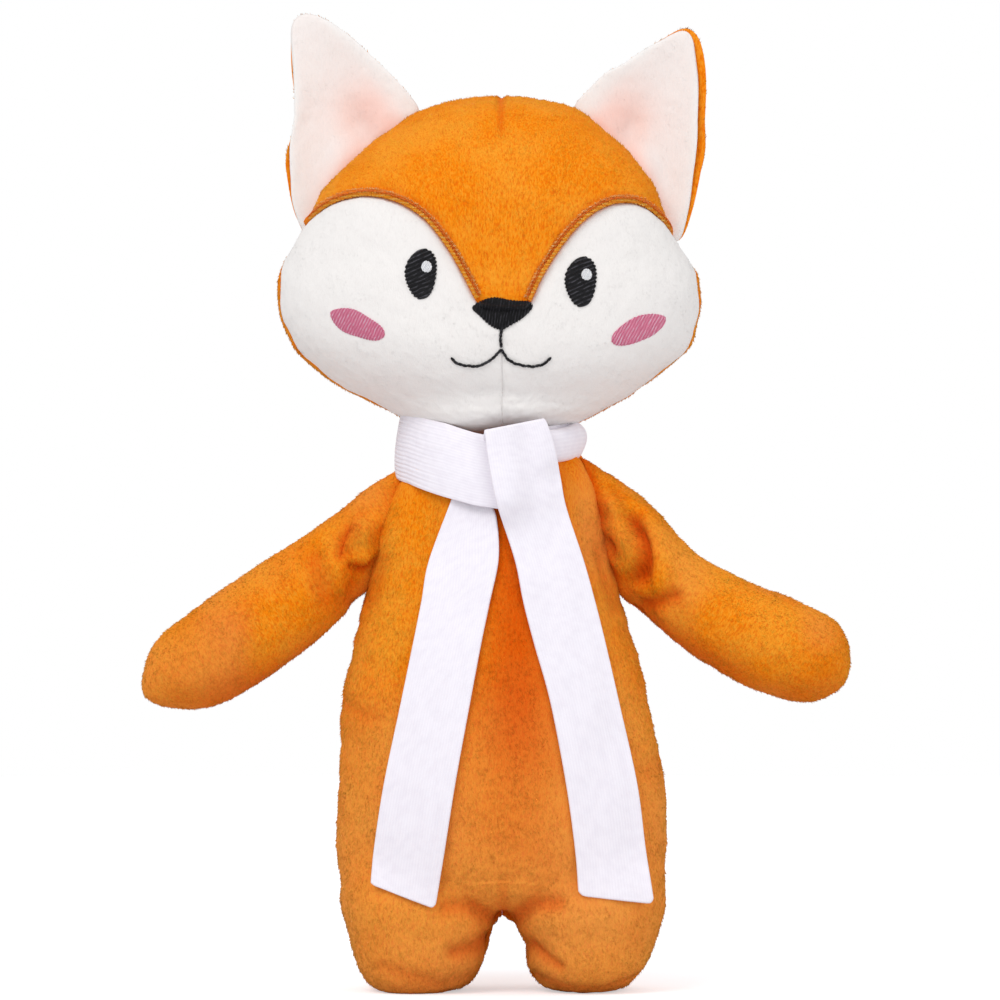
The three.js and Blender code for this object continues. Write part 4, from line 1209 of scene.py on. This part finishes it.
class Limb:
    """A limb sewn into a seam: its own x runs along it and its seam lies in its xz plane."""

    def __init__(self, top, bottom, forward, outline, taper, square_up):
        top, bottom, self.forward = Vector(top), Vector(bottom), Vector(forward)
        seam = top - bottom
        self.origin = (top + bottom) / 2
        plane = seam.cross(self.forward).normalized()
        self.upward = self.forward.cross(plane).normalized()
        self.skew = seam.dot(self.forward) / seam.dot(self.upward)
        line = line_through(outline)[0]
        self.along, self.middle = np.maximum.accumulate(line[:, 0]), (line[:, 1] + line[:, 2]) / 2
        self.wide = np.maximum((line[:, 1] - line[:, 2]) / 2, 0)
        steps = np.hypot(np.diff(self.along), np.diff(self.wide))
        self.share = np.concatenate([[0], np.cumsum(steps)]) / steps.sum()
        self.taper, self.square_up = taper, square_up
        sideways = self.upward.cross(self.forward)
        self.place = Matrix.Translation(self.origin) @ Matrix(
            [(f, s, u) for f, s, u in zip(self.forward, sideways, self.upward)]
        ).to_4x4()

    def bend(self):
        """Where the limb bends: from the trunk's skin to a little way along it."""
        return "trunk", self.origin - BEND_BEFORE * self.forward, self.origin + BEND_AFTER * self.forward

    def cover(self, columns, rows, root_half=5.5, sunk=8, inset=0.4):
        """The limb's closed skin on its own axes: flat at its root in the seam, and round further on."""
        mesh = ball_mesh("limb", columns, rows)
        unit = get_points(mesh)
        share = 1 - np.arccos(np.clip(unit[:, 2], -1, 1)) / np.pi
        end = 0.06
        body = np.clip((share - end) / (1 - end), 0, 1)
        along, wide = np.interp(body, self.share, self.along), np.interp(body, self.share, self.wide) - inset
        middle = np.interp(body, self.share, self.middle)
        wide = np.maximum(wide, 0) * np.minimum(1, share / end)
        fill = smooth(along, -4, self.taper)
        thick = np.where(share < end, root_half * share / end, root_half + (wide - root_half) * fill)
        thick = np.minimum(thick, np.maximum(wide, 0))
        ring = np.maximum(np.hypot(unit[:, 0], unit[:, 1]), 1e-9)
        across = wide * unit[:, 0] / ring
        mark(mesh, "along", along)
        slant = self.skew * np.maximum(0, 1 - along / self.square_up) * across
        along = along - sunk * smooth(along, 8, 0) + slant
        set_points(mesh, np.stack([along, thick * unit[:, 1] / ring, across + middle], axis=1))
        return faces_out(mesh, "limb")


def trunk_side(high, side):
    """How far out the trunk's side seam runs at a height."""
    return TRUNK.leaning(high) + side * TRUNK.half_width(high)


def arm_of(name, side):
    drop = math.radians(ARM_DROP[name])
    ends = [(trunk_side(high, side) + side * ROOT_OFF, 0, high) for high in ARM_SEAM]
    forward = side * math.cos(drop), 0, -math.sin(drop)
    return Limb(*ends, forward, ARM_OUTLINE[name], 12, 42)


ARM_CREASES = {
    "right": (
        ([(350, 526), (343, 539), (344, 552)], 2.6, 2.5),
        ([(355, 566), (362, 569), (369, 567), (374, 559)], 2.8, 1.4),
        ([(314, 558), (320, 577), (328, 598)], 1.6, 3.6),
        ([(361, 531), (367, 544), (365, 556)], -2.3, 3.2),
        ([(334, 570), (340, 590), (338, 606)], -0.8, 3.2),
        ([(355, 578), (352, 600)], 1.0, 2.0),
        ([(362, 512), (350, 516)], 0.9, 2.2),
    ),
    "left": (
        ([(634, 520), (643, 542), (643, 562), (637, 578)], 3.2, 2.7),
        ([(642, 603), (655, 603), (674, 596)], 2.0, 2.4),
        ([(608, 543), (611, 552)], 2.4, 1.2),
        ([(613, 506), (622, 530), (628, 562)], -2.2, 3.0),
        ([(638, 593), (655, 586)], -0.8, 1.8),
        ([(650, 520), (660, 545), (664, 570)], -0.7, 3.6),
        ([(614, 490), (620, 500)], 0.9, 2.2),
    ),
}
ARM_COMB = {"right": 0.35, "left": 0.75}


LIMB_SEAM_WIDTH = 1.1
LIMB_SEAM_SUNK = 0.7


def limb_cover(limb, creases, seed):
    """A limb's closed skin in its place, with its seam, its creases and the gathers at its root."""
    mesh = limb.cover(128, 120)
    local, along = get_points(mesh), marked(mesh, "along")
    mesh.transform(limb.place)
    points, normals = get_points(mesh), get_normals(mesh)
    gathers = np.sin(7 * np.arctan2(local[:, 1], local[:, 2]) + 2 * lumps(points, 16, seed + 4))
    out = swells(points, seed, (0.7, 24), (0.35, 11), (0.14, 2.4))
    out += 0.1 * lumps(points, 1.2, seed + 3) + 0.4 * smooth(along, 22, 3) * gathers
    seam = ridge(local[:, 1], LIMB_SEAM_WIDTH) * smooth(along, 1, 6)
    out -= LIMB_SEAM_SUNK * seam
    painted_shade_and_patches, swell = 0.35 * seam, 0 * seam
    for push, shade in creased(points, creases):
        out += push
        painted_shade_and_patches = np.maximum(painted_shade_and_patches, shade)
        swell += 0.2 * np.maximum(push, 0)
    points = points + normals * out[:, None]
    set_points(mesh, points)
    # Painted shade in the seam, the creases and at the root against the trunk, and on the undersides, with
    # random darker patches of the plush's own colour.
    underside_shade_and_patches = 0.35 * smooth(-normals[:, 2], 0.2, 0.9) + 0.3 * lumps(points, 15, seed + 6)
    mark(mesh, "painted_shade_and_patches", np.maximum.reduce([painted_shade_and_patches, 0.6 * smooth(along, 3, 0), underside_shade_and_patches]))
    # On the limbs the paler mix is only random patches of the nap.
    mark(mesh, "tint_and_painted_light", np.clip(0.35 * lumps(points, 13, seed + 5) + 0.1, 0, 1))
    mark(mesh, "nap", smooth(along, -3, 0) + np.minimum(swell, 0.8))
    mark_places(mesh, "strand", local)
    mesh.shade_smooth()
    return mesh


def combed(limb, along):
    """The pile of a limb lies across it and down, and a little along it."""
    way = np.array(along * limb.forward - (1 - along) * limb.upward)
    return lambda points: np.tile(way, (len(points), 1))


for name, side in SIDES.items():
    arm = arm_of(name, side)
    cover = limb_cover(arm, ARM_CREASES[name], 61 + 10 * side)
    for facing, half, number in (("front", FRONT, 0), ("back", BEHIND, 1)):
        stuffing = (f"arm_stuffing_{name}",) if facing == "front" else ()
        stands_for = (f"arm_{facing}_panel_{name}", *stuffing)
        add_cover(
            f"arm_{facing}_{name}", panel_of(cover, f"arm_{facing}_{name}", half), ORANGE_PLUSH,
            "orange_plush", f"arm_{name}", stands_for, combed(arm, ARM_COMB[name]),
            65 + 5 * side + number, blend=arm.bend(),
        )


tail_turn = math.radians(TAIL_DROP)
tail_roots = [(0, float(TRUNK.skin(0, high, True)) + ROOT_OFF, high) for high in TAIL_SEAM]
tail = Limb(*tail_roots, (0, math.cos(tail_turn), -math.sin(tail_turn)), TAIL_OUTLINE, 20, 24)
tail_mesh = limb_cover(tail, (), 81)
tail_split = tail.origin + (TAIL_LENGTH - TAIL_TIP_LENGTH) * tail.forward
add_cover(
    "tail_cover", panel_of(tail_mesh, "tail_cover", (tail_split, tail.forward)), ORANGE_PLUSH, "orange_plush",
    "tail", ("tail_cover", "tail_stuffing"), combed(tail, 0.9), 85, blend=tail.bend(), per_area=2.4,
)
add_cover(
    "tail_tip", panel_of(tail_mesh, "tail_tip", (tail_split, -tail.forward)), WHITE_PLUSH, "white_plush",
    "tail", ("tail_tip",), combed(tail, 0.9), 86, per_area=2.4,
)


# Embroidery on the head

class Skin:
    """Where some finished meshes show their surface, seen from the front."""

    def __init__(self, *meshes):
        self.trees = []
        for mesh in meshes:
            shape = to_bmesh(mesh)
            self.trees.append(BVHTree.FromBMesh(shape))
            shape.free()

    def front(self, out, up, fallback=0.0):
        """How far forward the nearest surface stands at each place, in front of the seam plane."""
        found = np.full(np.shape(out), fallback, float)
        for index in np.ndindex(found.shape):
            start = Vector((out[index], -150, up[index]))
            hits = [tree.ray_cast(start, Vector((0, 1, 0)))[0] for tree in self.trees]
            depths = [-hit.y for hit in hits if hit]
            if depths:
                found[index] = max(depths)
        return found


HEAD_SKIN = Skin(head)
EYE_HALF_WIDTH = 4.45
EYE_HALF_HEIGHT = 7.1
EYE_TILT = -4
EYE_THREADS = 24
THREAD_PITCH = 1.1
GLINT_RADIUS = 1.5
GLINT_OUT = 1.5
GLINT_UP = 2.1
BLUSH_HALF_WIDTH = 8.4
BLUSH_HALF_HEIGHT = 3.4
BLUSH_TILT = 24
NOSE_HALF_WIDTH = 8.5
NOSE_CORNERS = (
    (0.0, -1.0), (0.31, -0.7), (0.72, -0.14), (0.93, 0.2), (1.0, 0.46), (0.9, 0.72), (0.72, 0.84),
    (0.35, 0.97), (0.0, 1.0),
)
NOSE_HALF_HEIGHT = 4.55


def pad(
    name, centre, outline, dome, material, body, replaced, raised=0.0, jagged=0.3, threads=0,
    pitch=THREAD_PITCH, ribbed=0.12, skin=HEAD_SKIN,
):
    """A patch of satin stitch: a ball pressed flat, shaped by an outline, low and domed on the head.

    Its threads lie at an angle to the level. They rib the patch, and its edge is ragged by their pitch."""
    mesh = ball_mesh(name, 160, 48)
    unit = get_points(mesh)
    turn = np.arctan2(unit[:, 1], unit[:, 0])
    ring = np.hypot(unit[:, 0], unit[:, 1])
    flat = outline(turn) * ring[:, None]
    lie = math.radians(threads)
    past = flat[:, 1] * math.cos(lie) - flat[:, 0] * math.sin(lie)
    past += 0.12 * np.sin(flat[:, 0] * 1.1 + flat[:, 1] * 0.7)
    thread_share = np.abs(np.sin(np.pi * past / pitch))
    number = np.floor(past / pitch)
    reach = np.sin(number * 12.9898) * 0.5 + 0.6 * (thread_share - 0.6)
    sideways = flat[:, 0] * math.cos(lie) + flat[:, 1] * math.sin(lie)
    ragged = jagged * reach * ring**6 * np.tanh(sideways / 1.5)
    flat = flat + ragged[:, None] * np.array([math.cos(lie), math.sin(lie)])
    out, up = centre[0] + flat[:, 0], centre[1] + flat[:, 1]
    deep = skin.front(out, up)
    ribs = ribbed * (thread_share**0.6 - 1)
    top = raised + 0.15 + dome * np.abs(unit[:, 2]) ** 0.8 + ribs * np.minimum(1, 3 * np.abs(unit[:, 2]))
    lift = np.where(unit[:, 2] > 0, top, raised + 0.1 - 1.1 * np.abs(unit[:, 2]) ** 0.5)
    set_points(mesh, np.stack([out, -(deep + lift), up], axis=1))
    mesh = faces_out(mesh, name)
    mesh.shade_smooth()
    copy = mesh.copy()
    add_piece(name, mesh, material, body, replaced)
    return copy


def oval(half_width, half_height, tilt=0, pointed=1.0):
    """An oval turned by its tilt; a pointed one narrows to its ends like a leaf."""
    turn_by = math.radians(tilt)

    def outline(turn):
        x = half_width * np.cos(turn)
        y = half_height * np.sign(np.sin(turn)) * np.abs(np.sin(turn)) ** pointed
        cosine, sine = math.cos(turn_by), math.sin(turn_by)
        return np.stack([x * cosine - y * sine, x * sine + y * cosine], 1)

    return outline


def nose_outline(turn):
    """A rounded triangle, the same on both sides, from its lowest corner round to its top."""
    line, share = line_through(NOSE_CORNERS)
    half = np.abs((turn + np.pi / 2 + np.pi) % (2 * np.pi) - np.pi) / np.pi
    x = np.interp(half, share, line[:, 0]) * np.sign(np.cos(turn) + 1e-12)
    return np.stack([x * NOSE_HALF_WIDTH, np.interp(half, share, line[:, 1]) * NOSE_HALF_HEIGHT], 1)


for name, side in SIDES.items():
    eye = EYE_PLACES[name]
    eye_pad = pad(
        f"eye_{name}", eye, oval(EYE_HALF_WIDTH, EYE_HALF_HEIGHT, EYE_TILT), 0.9, BLACK_THREAD, "head",
        (f"eye_{name}",), threads=EYE_THREADS, jagged=0.85,
    )
    pad(
        f"eye_glint_{name}", (eye[0] + GLINT_OUT, eye[1] + GLINT_UP),
        oval(GLINT_RADIUS, GLINT_RADIUS * 1.1), 0.35, WHITE_THREAD, "head", (f"eye_glint_{name}",),
        threads=60, pitch=0.8, jagged=0.35, skin=Skin(eye_pad),
    )
    pad(
        f"blush_{name}", BLUSH_PLACES[name],
        oval(BLUSH_HALF_WIDTH, BLUSH_HALF_HEIGHT, side * BLUSH_TILT, 1.1), 0.45, PINK_THREAD, "head",
        (f"blush_{name}",), threads=62, pitch=0.8, jagged=0.5,
    )
pad(
    "nose", NOSE_PLACE, nose_outline, 1.1, NOSE_THREAD, "head", ("nose",), threads=84,
    pitch=0.8, jagged=0.8,
)

MOUTH_AHEAD = 38
MOUTH_LINES = (
    ((501, 329), (500.6, 340), (501.2, 350)),
    (
        (501, 349.5), (494, 357), (487, 362), (478, 365.5), (468.8, 366), (458, 363.5), (453, 360),
        (449, 354.5),
    ),
    (
        (501.5, 349.5), (506, 357), (513, 362), (522, 365), (531, 366.3), (541, 364.5), (548, 360),
        (552, 356),
    ),
)


def stitched(name, lines, step, long, wide, raised, skin, jitter=0.05, turned=0, varied=0.0):
    """Short stitches along lines seen from the front: end to end, or turned to lie across them."""
    starts, ways = [], []
    for path in lines:
        line, share = line_through(path)
        length = np.linalg.norm(np.diff(line, axis=0), axis=1).sum()
        at = (np.arange(max(2, int(length / step))) + 0.5) * step / length
        at = at[at < 1]
        here, further, nearer = [
            np.stack([np.interp(at + step_on, share, line[:, k]) for k in (0, 1)], axis=1)
            for step_on in (0, 0.01, -0.01)
        ]
        starts.append(here)
        ways.append(further - nearer)
    places, ways = np.concatenate(starts), directions(np.concatenate(ways))
    deep = skin.front(places[:, 0], places[:, 1])
    ahead = skin.front(places[:, 0] + 0.5 * ways[:, 0], places[:, 1] + 0.5 * ways[:, 1])
    along = directions(np.stack([ways[:, 0], -(ahead - deep) / 0.5, ways[:, 1]], axis=1))
    sideways = directions(np.cross(along, np.array([0, -1, 0])))
    up = np.cross(sideways, along)
    random = np.random.default_rng(len(places))
    centre = np.stack([places[:, 0], -(deep + raised), places[:, 1]], axis=1)
    centre += jitter * random.normal(size=centre.shape)
    turns = np.radians(turned + 12 * (turned > 0) * random.normal(size=len(places)))[:, None]
    cosine, sine = np.cos(turns), np.sin(turns)
    along, sideways = along * cosine + sideways * sine, sideways * cosine - along * sine
    longs = long * (1 + varied * random.uniform(-1, 1, len(places)))[:, None]
    return repeated(name, STITCH, centre, (along * longs / 2, sideways * wide / 2, up * wide / 2))


mouth = [[faced(*place, MOUTH_AHEAD) for place in line] for line in MOUTH_LINES]
add_piece(
    "mouth", stitched("mouth", mouth, 1.25, 1.9, 0.9, 0.3, HEAD_SKIN, jitter=0.07), BLACK_THREAD, "head",
    ("mouth",),
)

BROW_ROWS = (
    ("brow_edge_stitches", 0.6, 0.28, 1.35, 0.42, 76, 0.25, BRIGHT_THREAD),
    ("brow_line_stitches", 1.5, 0.5, 0.8, 0.36, 0, 0.2, DARK_THREAD),
    ("brow_inner_stitches", 2.1, 0.45, 0.9, 0.34, 60, 0.5, PALE_THREAD),
)
BROW_SPANS = (-54.5, -7.6), (8.2, 48)
rim = get_points(head)[(np.abs(head_unit[:, 2]) < 1e-6) & (head_unit[:, 1] < 0)]
rim = rim[np.argsort(rim[:, 0])][:, [0, 2]]
for name, off, step, long, wide, turned, varied, material in BROW_ROWS:
    rows = []
    for first, last in BROW_SPANS:
        outs = np.linspace(first, last, 60)
        ups = [np.interp(outs + step_out, rim[:, 0], rim[:, 1]) for step_out in (-0.8, 0, 0.8)]
        slope = (ups[2] - ups[0]) / 1.6
        run = np.sqrt(1 + slope**2)
        rows.append(list(zip(outs - off * slope / run, sum(ups) / 3 + off / run)))
    add_piece(
        name, stitched(name, rows, step, long, wide, 0.6, HEAD_SKIN, 0.05, turned, varied), material,
        "head", (),
    )


# Scarf

BAND_MIDDLE = -3
BAND_WIDE = 26.0
BAND_DEEP = 25.4
BAND_START = -9
BAND_END = 334
ROLL_FROM, ROLL_TO = 205, 262
ROLL_START, ROLL_TURN, ROLL_RADIUS = 185, 345, 3.2
OPENING_AT, OPENING_HALF_WIDTH = 288, 0.16
RIBBED_AT, RIBBED_REACH = 82, 34
BAND_TABLE = (
    (-10, 147.4, 10.1), (10, 149.0, 10.3), (30, 151.6, 10.4), (60, 154.8, 9.8), (90, 156.2, 9.2),
    (135, 155.6, 9), (180, 154, 8.6), (225, 155.6, 7.0), (262, 157.4, 4.9), (290, 157.3, 4.9),
    (318, 155.9, 4.8), (335, 155.2, 5.0),
)
RIBBON_WIDTH = 20.5
RIBBON_THICKNESS = 1.25
SCARF_AHEAD, SCARF_BEND = 27.5, 12
UPRIGHT_FROM = 153
LEFT_RIBBON = (
    (
        (-5.4, 157), (-5.0, 159.5), (-4.4, 154.5), (-3.3, 147.5), (-1.2, 138), (3.6, 123.1), (5.9, 111.6),
        (8.9, 100), (13.6, 83), (18.0, 60), (20.6, 41), (21.6, 28.4),
    ),
    (
        (11.6, 160), (12.3, 162.9), (14.8, 156), (16.6, 146.7), (18.3, 138), (23.2, 123.1), (26.4, 111.6),
        (29.3, 100), (33.2, 83), (38.3, 60), (40.8, 41), (43.2, 25.8),
    ),
)
RIGHT_RIBBON = (
    (
        (-11.5, 150), (-14.2, 141), (-20.8, 123.1), (-22.9, 111.6), (-25.2, 100), (-28.7, 83),
        (-33.5, 60), (-36.4, 41), (-37.2, 31.5),
    ),
    (
        (-6.5, 150), (-5.0, 141.5), (-2.4, 138), (-1.2, 133), (-1.0, 123.1), (-3.4, 111.6), (-5.8, 100),
        (-9.0, 83), (-13.2, 60), (-16.2, 41), (-18.9, 24.6),
    ),
)
KNOT_EDGES = (
    ((-2.6, 156.5), (-2.2, 150), (-0.6, 139)),
    ((10.5, 158.5), (12.0, 150), (13.5, 140)),
)


def grid_mesh(name, across, along, place, width, length):
    """A ribbon from a flat grid: place gives the points for shares across and along."""
    shape = bmesh.new()
    layer = shape.loops.layers.uv.new("ribbon")
    bmesh.ops.create_grid(shape, x_segments=across, y_segments=along, size=0.5)
    shares = np.array([(vert.co.x + 0.5, vert.co.y + 0.5) for vert in shape.verts])
    points, marks = place(shares[:, 0], shares[:, 1])
    shape.verts.ensure_lookup_table()
    for face in shape.faces:
        for loop in face.loops:
            loop[layer].uv = loop.vert.co.x * width, loop.vert.co.y * length
    for vert, point in zip(shape.verts, points):
        vert.co = point
    bmesh.ops.recalc_face_normals(shape, faces=shape.faces[:])
    mesh = to_mesh(name, shape)
    for mark_name, values in marks.items():
        mark(mesh, mark_name, values)
    mesh = with_modifiers(
        mesh, ("SOLIDIFY", dict(thickness=RIBBON_THICKNESS, offset=0)),
        ("SUBSURF", dict(levels=1, render_levels=1)),
    )
    mesh = faces_out(mesh, name)
    mesh.shade_smooth()
    return mesh


def beside(values):
    """The values of a grid and, for each, those of its four neighbours."""
    wider = np.pad(values, 1, mode="edge")
    return wider[1:-1, 1:-1], wider[:-2, 1:-1], wider[2:, 1:-1], wider[1:-1, :-2], wider[1:-1, 2:]


def softened(values, turns):
    """The mean of each value and its neighbours on the grid, over and over."""
    for _ in range(turns):
        own, *others = beside(values)
        values = sum(others, own * 2) / 6
    return values


def widest(values, reach):
    """The largest value that far around each place of the grid."""
    for _ in range(reach):
        values = np.maximum.reduce(beside(values))
    return values


def laid_ribbon(name, edges, skin, off, across, along, corner=4.0, seed=0, tuck=0.0):
    """A ribbon between two edges seen from the front, laid on what is under it and upright above the band."""
    left, right = line_through(edges[0])[0], line_through(edges[1])[0]
    share = np.linspace(0, 1, len(left))
    length = np.linalg.norm(np.diff((left + right) / 2, axis=0), axis=1).sum()
    columns, rows = np.linspace(0, 1, across + 1), np.linspace(0, 1, along + 1)
    u, v = np.meshgrid(columns, rows, indexing="ij")
    off_middle = np.abs(2 * u - 1)
    inset = np.maximum(0, off_middle - 1 + 2 * corner / RIBBON_WIDTH) / (2 * corner / RIBBON_WIDTH)
    shortened = 1 - corner / length * (1 - np.sqrt(np.clip(1 - inset**2, 0, 1)))
    at = v * np.where(v > 0.5, 1 + (shortened - 1) * (2 * v - 1) ** 8, 1)
    ends = [[np.interp(at, share, edge[:, k]) for k in (0, 1)] for edge in (left, right)]
    out = ends[0][0] + (ends[1][0] - ends[0][0]) * u
    up = ends[0][1] + (ends[1][1] - ends[0][1]) * u
    found = skin.front(out, np.minimum(up, UPRIGHT_FROM), fallback=-1)
    hidden = found < 0
    found[hidden] = found[~hidden].min()
    deep = np.maximum(softened(widest(found, 4), 24), found)
    deep = softened(deep, 3) + off
    place3 = np.stack([out, 0 * out, up], axis=-1).reshape(-1, 3)
    deep = deep.ravel() + 0.35 * lumps(place3, 22, seed) + 0.2 * lumps(place3, 9, seed + 1)
    deep += 0.5 * (off_middle.ravel() ** 4 - 0.3) * smooth(v.ravel(), 0.1, 0.3)
    deep += 0.45 * lumps(place3 * np.array([1, 1, 0.22]), 6.5, seed + 2) * smooth(v.ravel(), 0.02, 0.15)
    deep -= tuck * smooth(v.ravel(), 0.1, 0.0) ** 2
    points = np.stack([out.ravel(), -deep, up.ravel()], axis=1)
    order = {(i, j): i * (along + 1) + j for i in range(across + 1) for j in range(along + 1)}

    def place(u_share, v_share):
        index = [order[int(round(a * across)), int(round(b * along))] for a, b in zip(u_share, v_share)]
        return points[index], {"painted_shade_and_patches": 0 * u_share, "rib": 0 * u_share}

    return grid_mesh(name, across, along, place, RIBBON_WIDTH, length), length


def neck_band():
    """The ribbon once round the neck: flat from the front round the right side, then rolled up."""
    turns, middles, halves = np.array(BAND_TABLE, float).T

    def place(u, v):
        turn = BAND_START + (BAND_END - BAND_START) * v
        middle, half = np.interp(turn, turns, middles), np.interp(turn, turns, halves)
        rolled = smooth(turn, ROLL_FROM, ROLL_TO)
        across = 2 * u - 1
        bend = np.radians(ROLL_START + ROLL_TURN * u)
        outward = -0.8 * across + 0.9 * (1 - across**2)
        outward += 0.5 * np.sin(across * 5 + turn / 40) * smooth(turn, 90, 200)
        opening = ridge(bend - math.radians(OPENING_AT), OPENING_HALF_WIDTH) * smooth(turn, 283, 300)
        tube = (ROLL_RADIUS - 0.9 * opening) * np.cos(bend) - 2.6 - 1.2 * opening
        ripple = 0.9 * np.sin(3 * np.pi * across + turn / 30) * rolled
        outward = outward * (1 - rolled) + (tube + 0.3 * ripple) * rolled
        flat = middle + half * across
        round_up = middle - half * np.sin(bend) * (1 - 0.3 * np.clip(u - 0.85, 0, 1) * 6 - 0.3 * opening)
        high = flat * (1 - rolled) + round_up * rolled
        angle = np.radians(turn)
        wide, deep = BAND_WIDE + outward, BAND_DEEP + outward
        points = np.stack([BAND_MIDDLE - wide * np.sin(angle), -deep * np.cos(angle), high], axis=1)
        points += 0.25 * np.stack([lumps(points, 10, 91), lumps(points, 10, 92), 0 * turn], axis=1)
        ribbed = ridge(turn - RIBBED_AT, RIBBED_REACH)
        # Painted shade along the rolled edges and in the roll's opening.
        shade = np.maximum(0.5 * rolled * smooth(np.abs(across), 0.9, 1), 0.8 * opening)
        return points, {"painted_shade_and_patches": shade, "rib": ribbed}

    length = math.pi * (BAND_WIDE + BAND_DEEP) * (BAND_END - BAND_START) / 360
    return grid_mesh("scarf_neckband", 36, 220, place, RIBBON_WIDTH, length), length


def add_ribbon(name, made, body, replaced, blend=None):
    """Adds a ribbon, and keeps a copy of its mesh for what lies on it."""
    mesh, length = made
    copy = mesh.copy()
    piece = add_piece(name, mesh, WHITE_KNIT, body, replaced, blend=blend)
    return copy


def scarf_bend(top):
    """Where a hanging ribbon bends as it is lifted."""
    return "trunk", (0, -SCARF_AHEAD, top), (0, -SCARF_AHEAD, top - SCARF_BEND)


band = add_ribbon(
    "scarf_neckband", neck_band(), "trunk", ("scarf_neckband",),
)
knot = add_ribbon(
    "scarf_knot", laid_ribbon("scarf_knot", KNOT_EDGES, Skin(trunk, band), 0.9, 24, 40, 1.0, 93), "trunk",
    ("scarf_knot",),
)
add_ribbon(
    "scarf_tail_right", laid_ribbon("scarf_tail_right", RIGHT_RIBBON, Skin(trunk), 0.9, 28, 150, 1.8, 95),
    "scarf_tail_right", ("scarf_tail_right",),
    blend=scarf_bend(142),
)
add_ribbon(
    "scarf_tail_left",
    laid_ribbon("scarf_tail_left", LEFT_RIBBON, Skin(trunk, band, knot), 0.95, 28, 170, 2.2, 97, 4),
    "scarf_tail_left", ("scarf_tail_left",),
    blend=scarf_bend(146),
)


# Floor, light and camera

def stage_material(name, colour, emission):
    material, tree, surface = new_material(name, 0.9, 0, 0.5, 0.1)
    surface.inputs["Base Color"].default_value = colour
    surface.inputs["Emission Color"].default_value = (1, 1, 1, 1)
    seen = node(tree, "ShaderNodeLightPath").outputs["Is Camera Ray"]
    tree.links.new(ranged(tree, seen, 0, 1, 0, emission), surface.inputs["Emission Strength"])
    return material


def floor():
    shape = bmesh.new()
    bmesh.ops.create_grid(shape, x_segments=1, y_segments=1, size=1.5)
    mesh = to_mesh("floor", shape)
    mesh.materials.append(stage_material("floor", colour_of(225, 225, 227), 0.5))
    piece = bpy.data.objects.new("floor", mesh)
    bpy.context.scene.collection.objects.link(piece)


def soft_light(name, size, power, place, target):
    lamp = bpy.data.lights.new(name, "AREA")
    lamp.shape = "DISK"
    lamp.size = size
    lamp.energy = power
    piece = bpy.data.objects.new(name, lamp)
    piece.location = place
    piece.rotation_euler = (Vector(target) - Vector(place)).to_track_quat("-Z", "Y").to_euler()
    bpy.context.scene.collection.objects.link(piece)


def white_world():
    world = bpy.data.worlds.new("studio")
    bpy.context.scene.world = world
    world.use_nodes = True
    tree = world.node_tree
    tree.nodes.clear()
    seen = node(tree, "ShaderNodeLightPath").outputs["Is Camera Ray"]
    soft = node(tree, "ShaderNodeBackground", {"Color": (0.95, 0.97, 1, 1), "Strength": 0.78})
    white = node(tree, "ShaderNodeBackground", {"Color": (1, 1, 1, 1), "Strength": 1.0})
    mix = node(tree, "ShaderNodeMixShader", {0: seen, 1: soft.outputs[0], 2: white.outputs[0]})
    node(tree, "ShaderNodeOutputWorld", {"Surface": mix.outputs[0]})


floor()
white_world()
soft_light("key", 0.9, 10.5, (-0.65, -1.2, 1.35), (0, 0, 0.16))
soft_light("fill", 1.2, 4, (1.1, -1.2, 0.5), (0, 0, 0.14))

camera = bpy.data.cameras.new("camera")
camera.sensor_width = SENSOR
camera.lens = SENSOR * CAMERA_AWAY / VIEW_WIDTH
viewer = bpy.data.objects.new("camera", camera)
viewer.location = TOY @ Vector((CAMERA_OUT, -CAMERA_AWAY, CAMERA_UP))
viewer.rotation_euler = (math.pi / 2, 0, 0)
bpy.context.scene.collection.objects.link(viewer)
bpy.context.scene.camera = viewer
bpy.context.scene.view_settings.view_transform = "Standard"
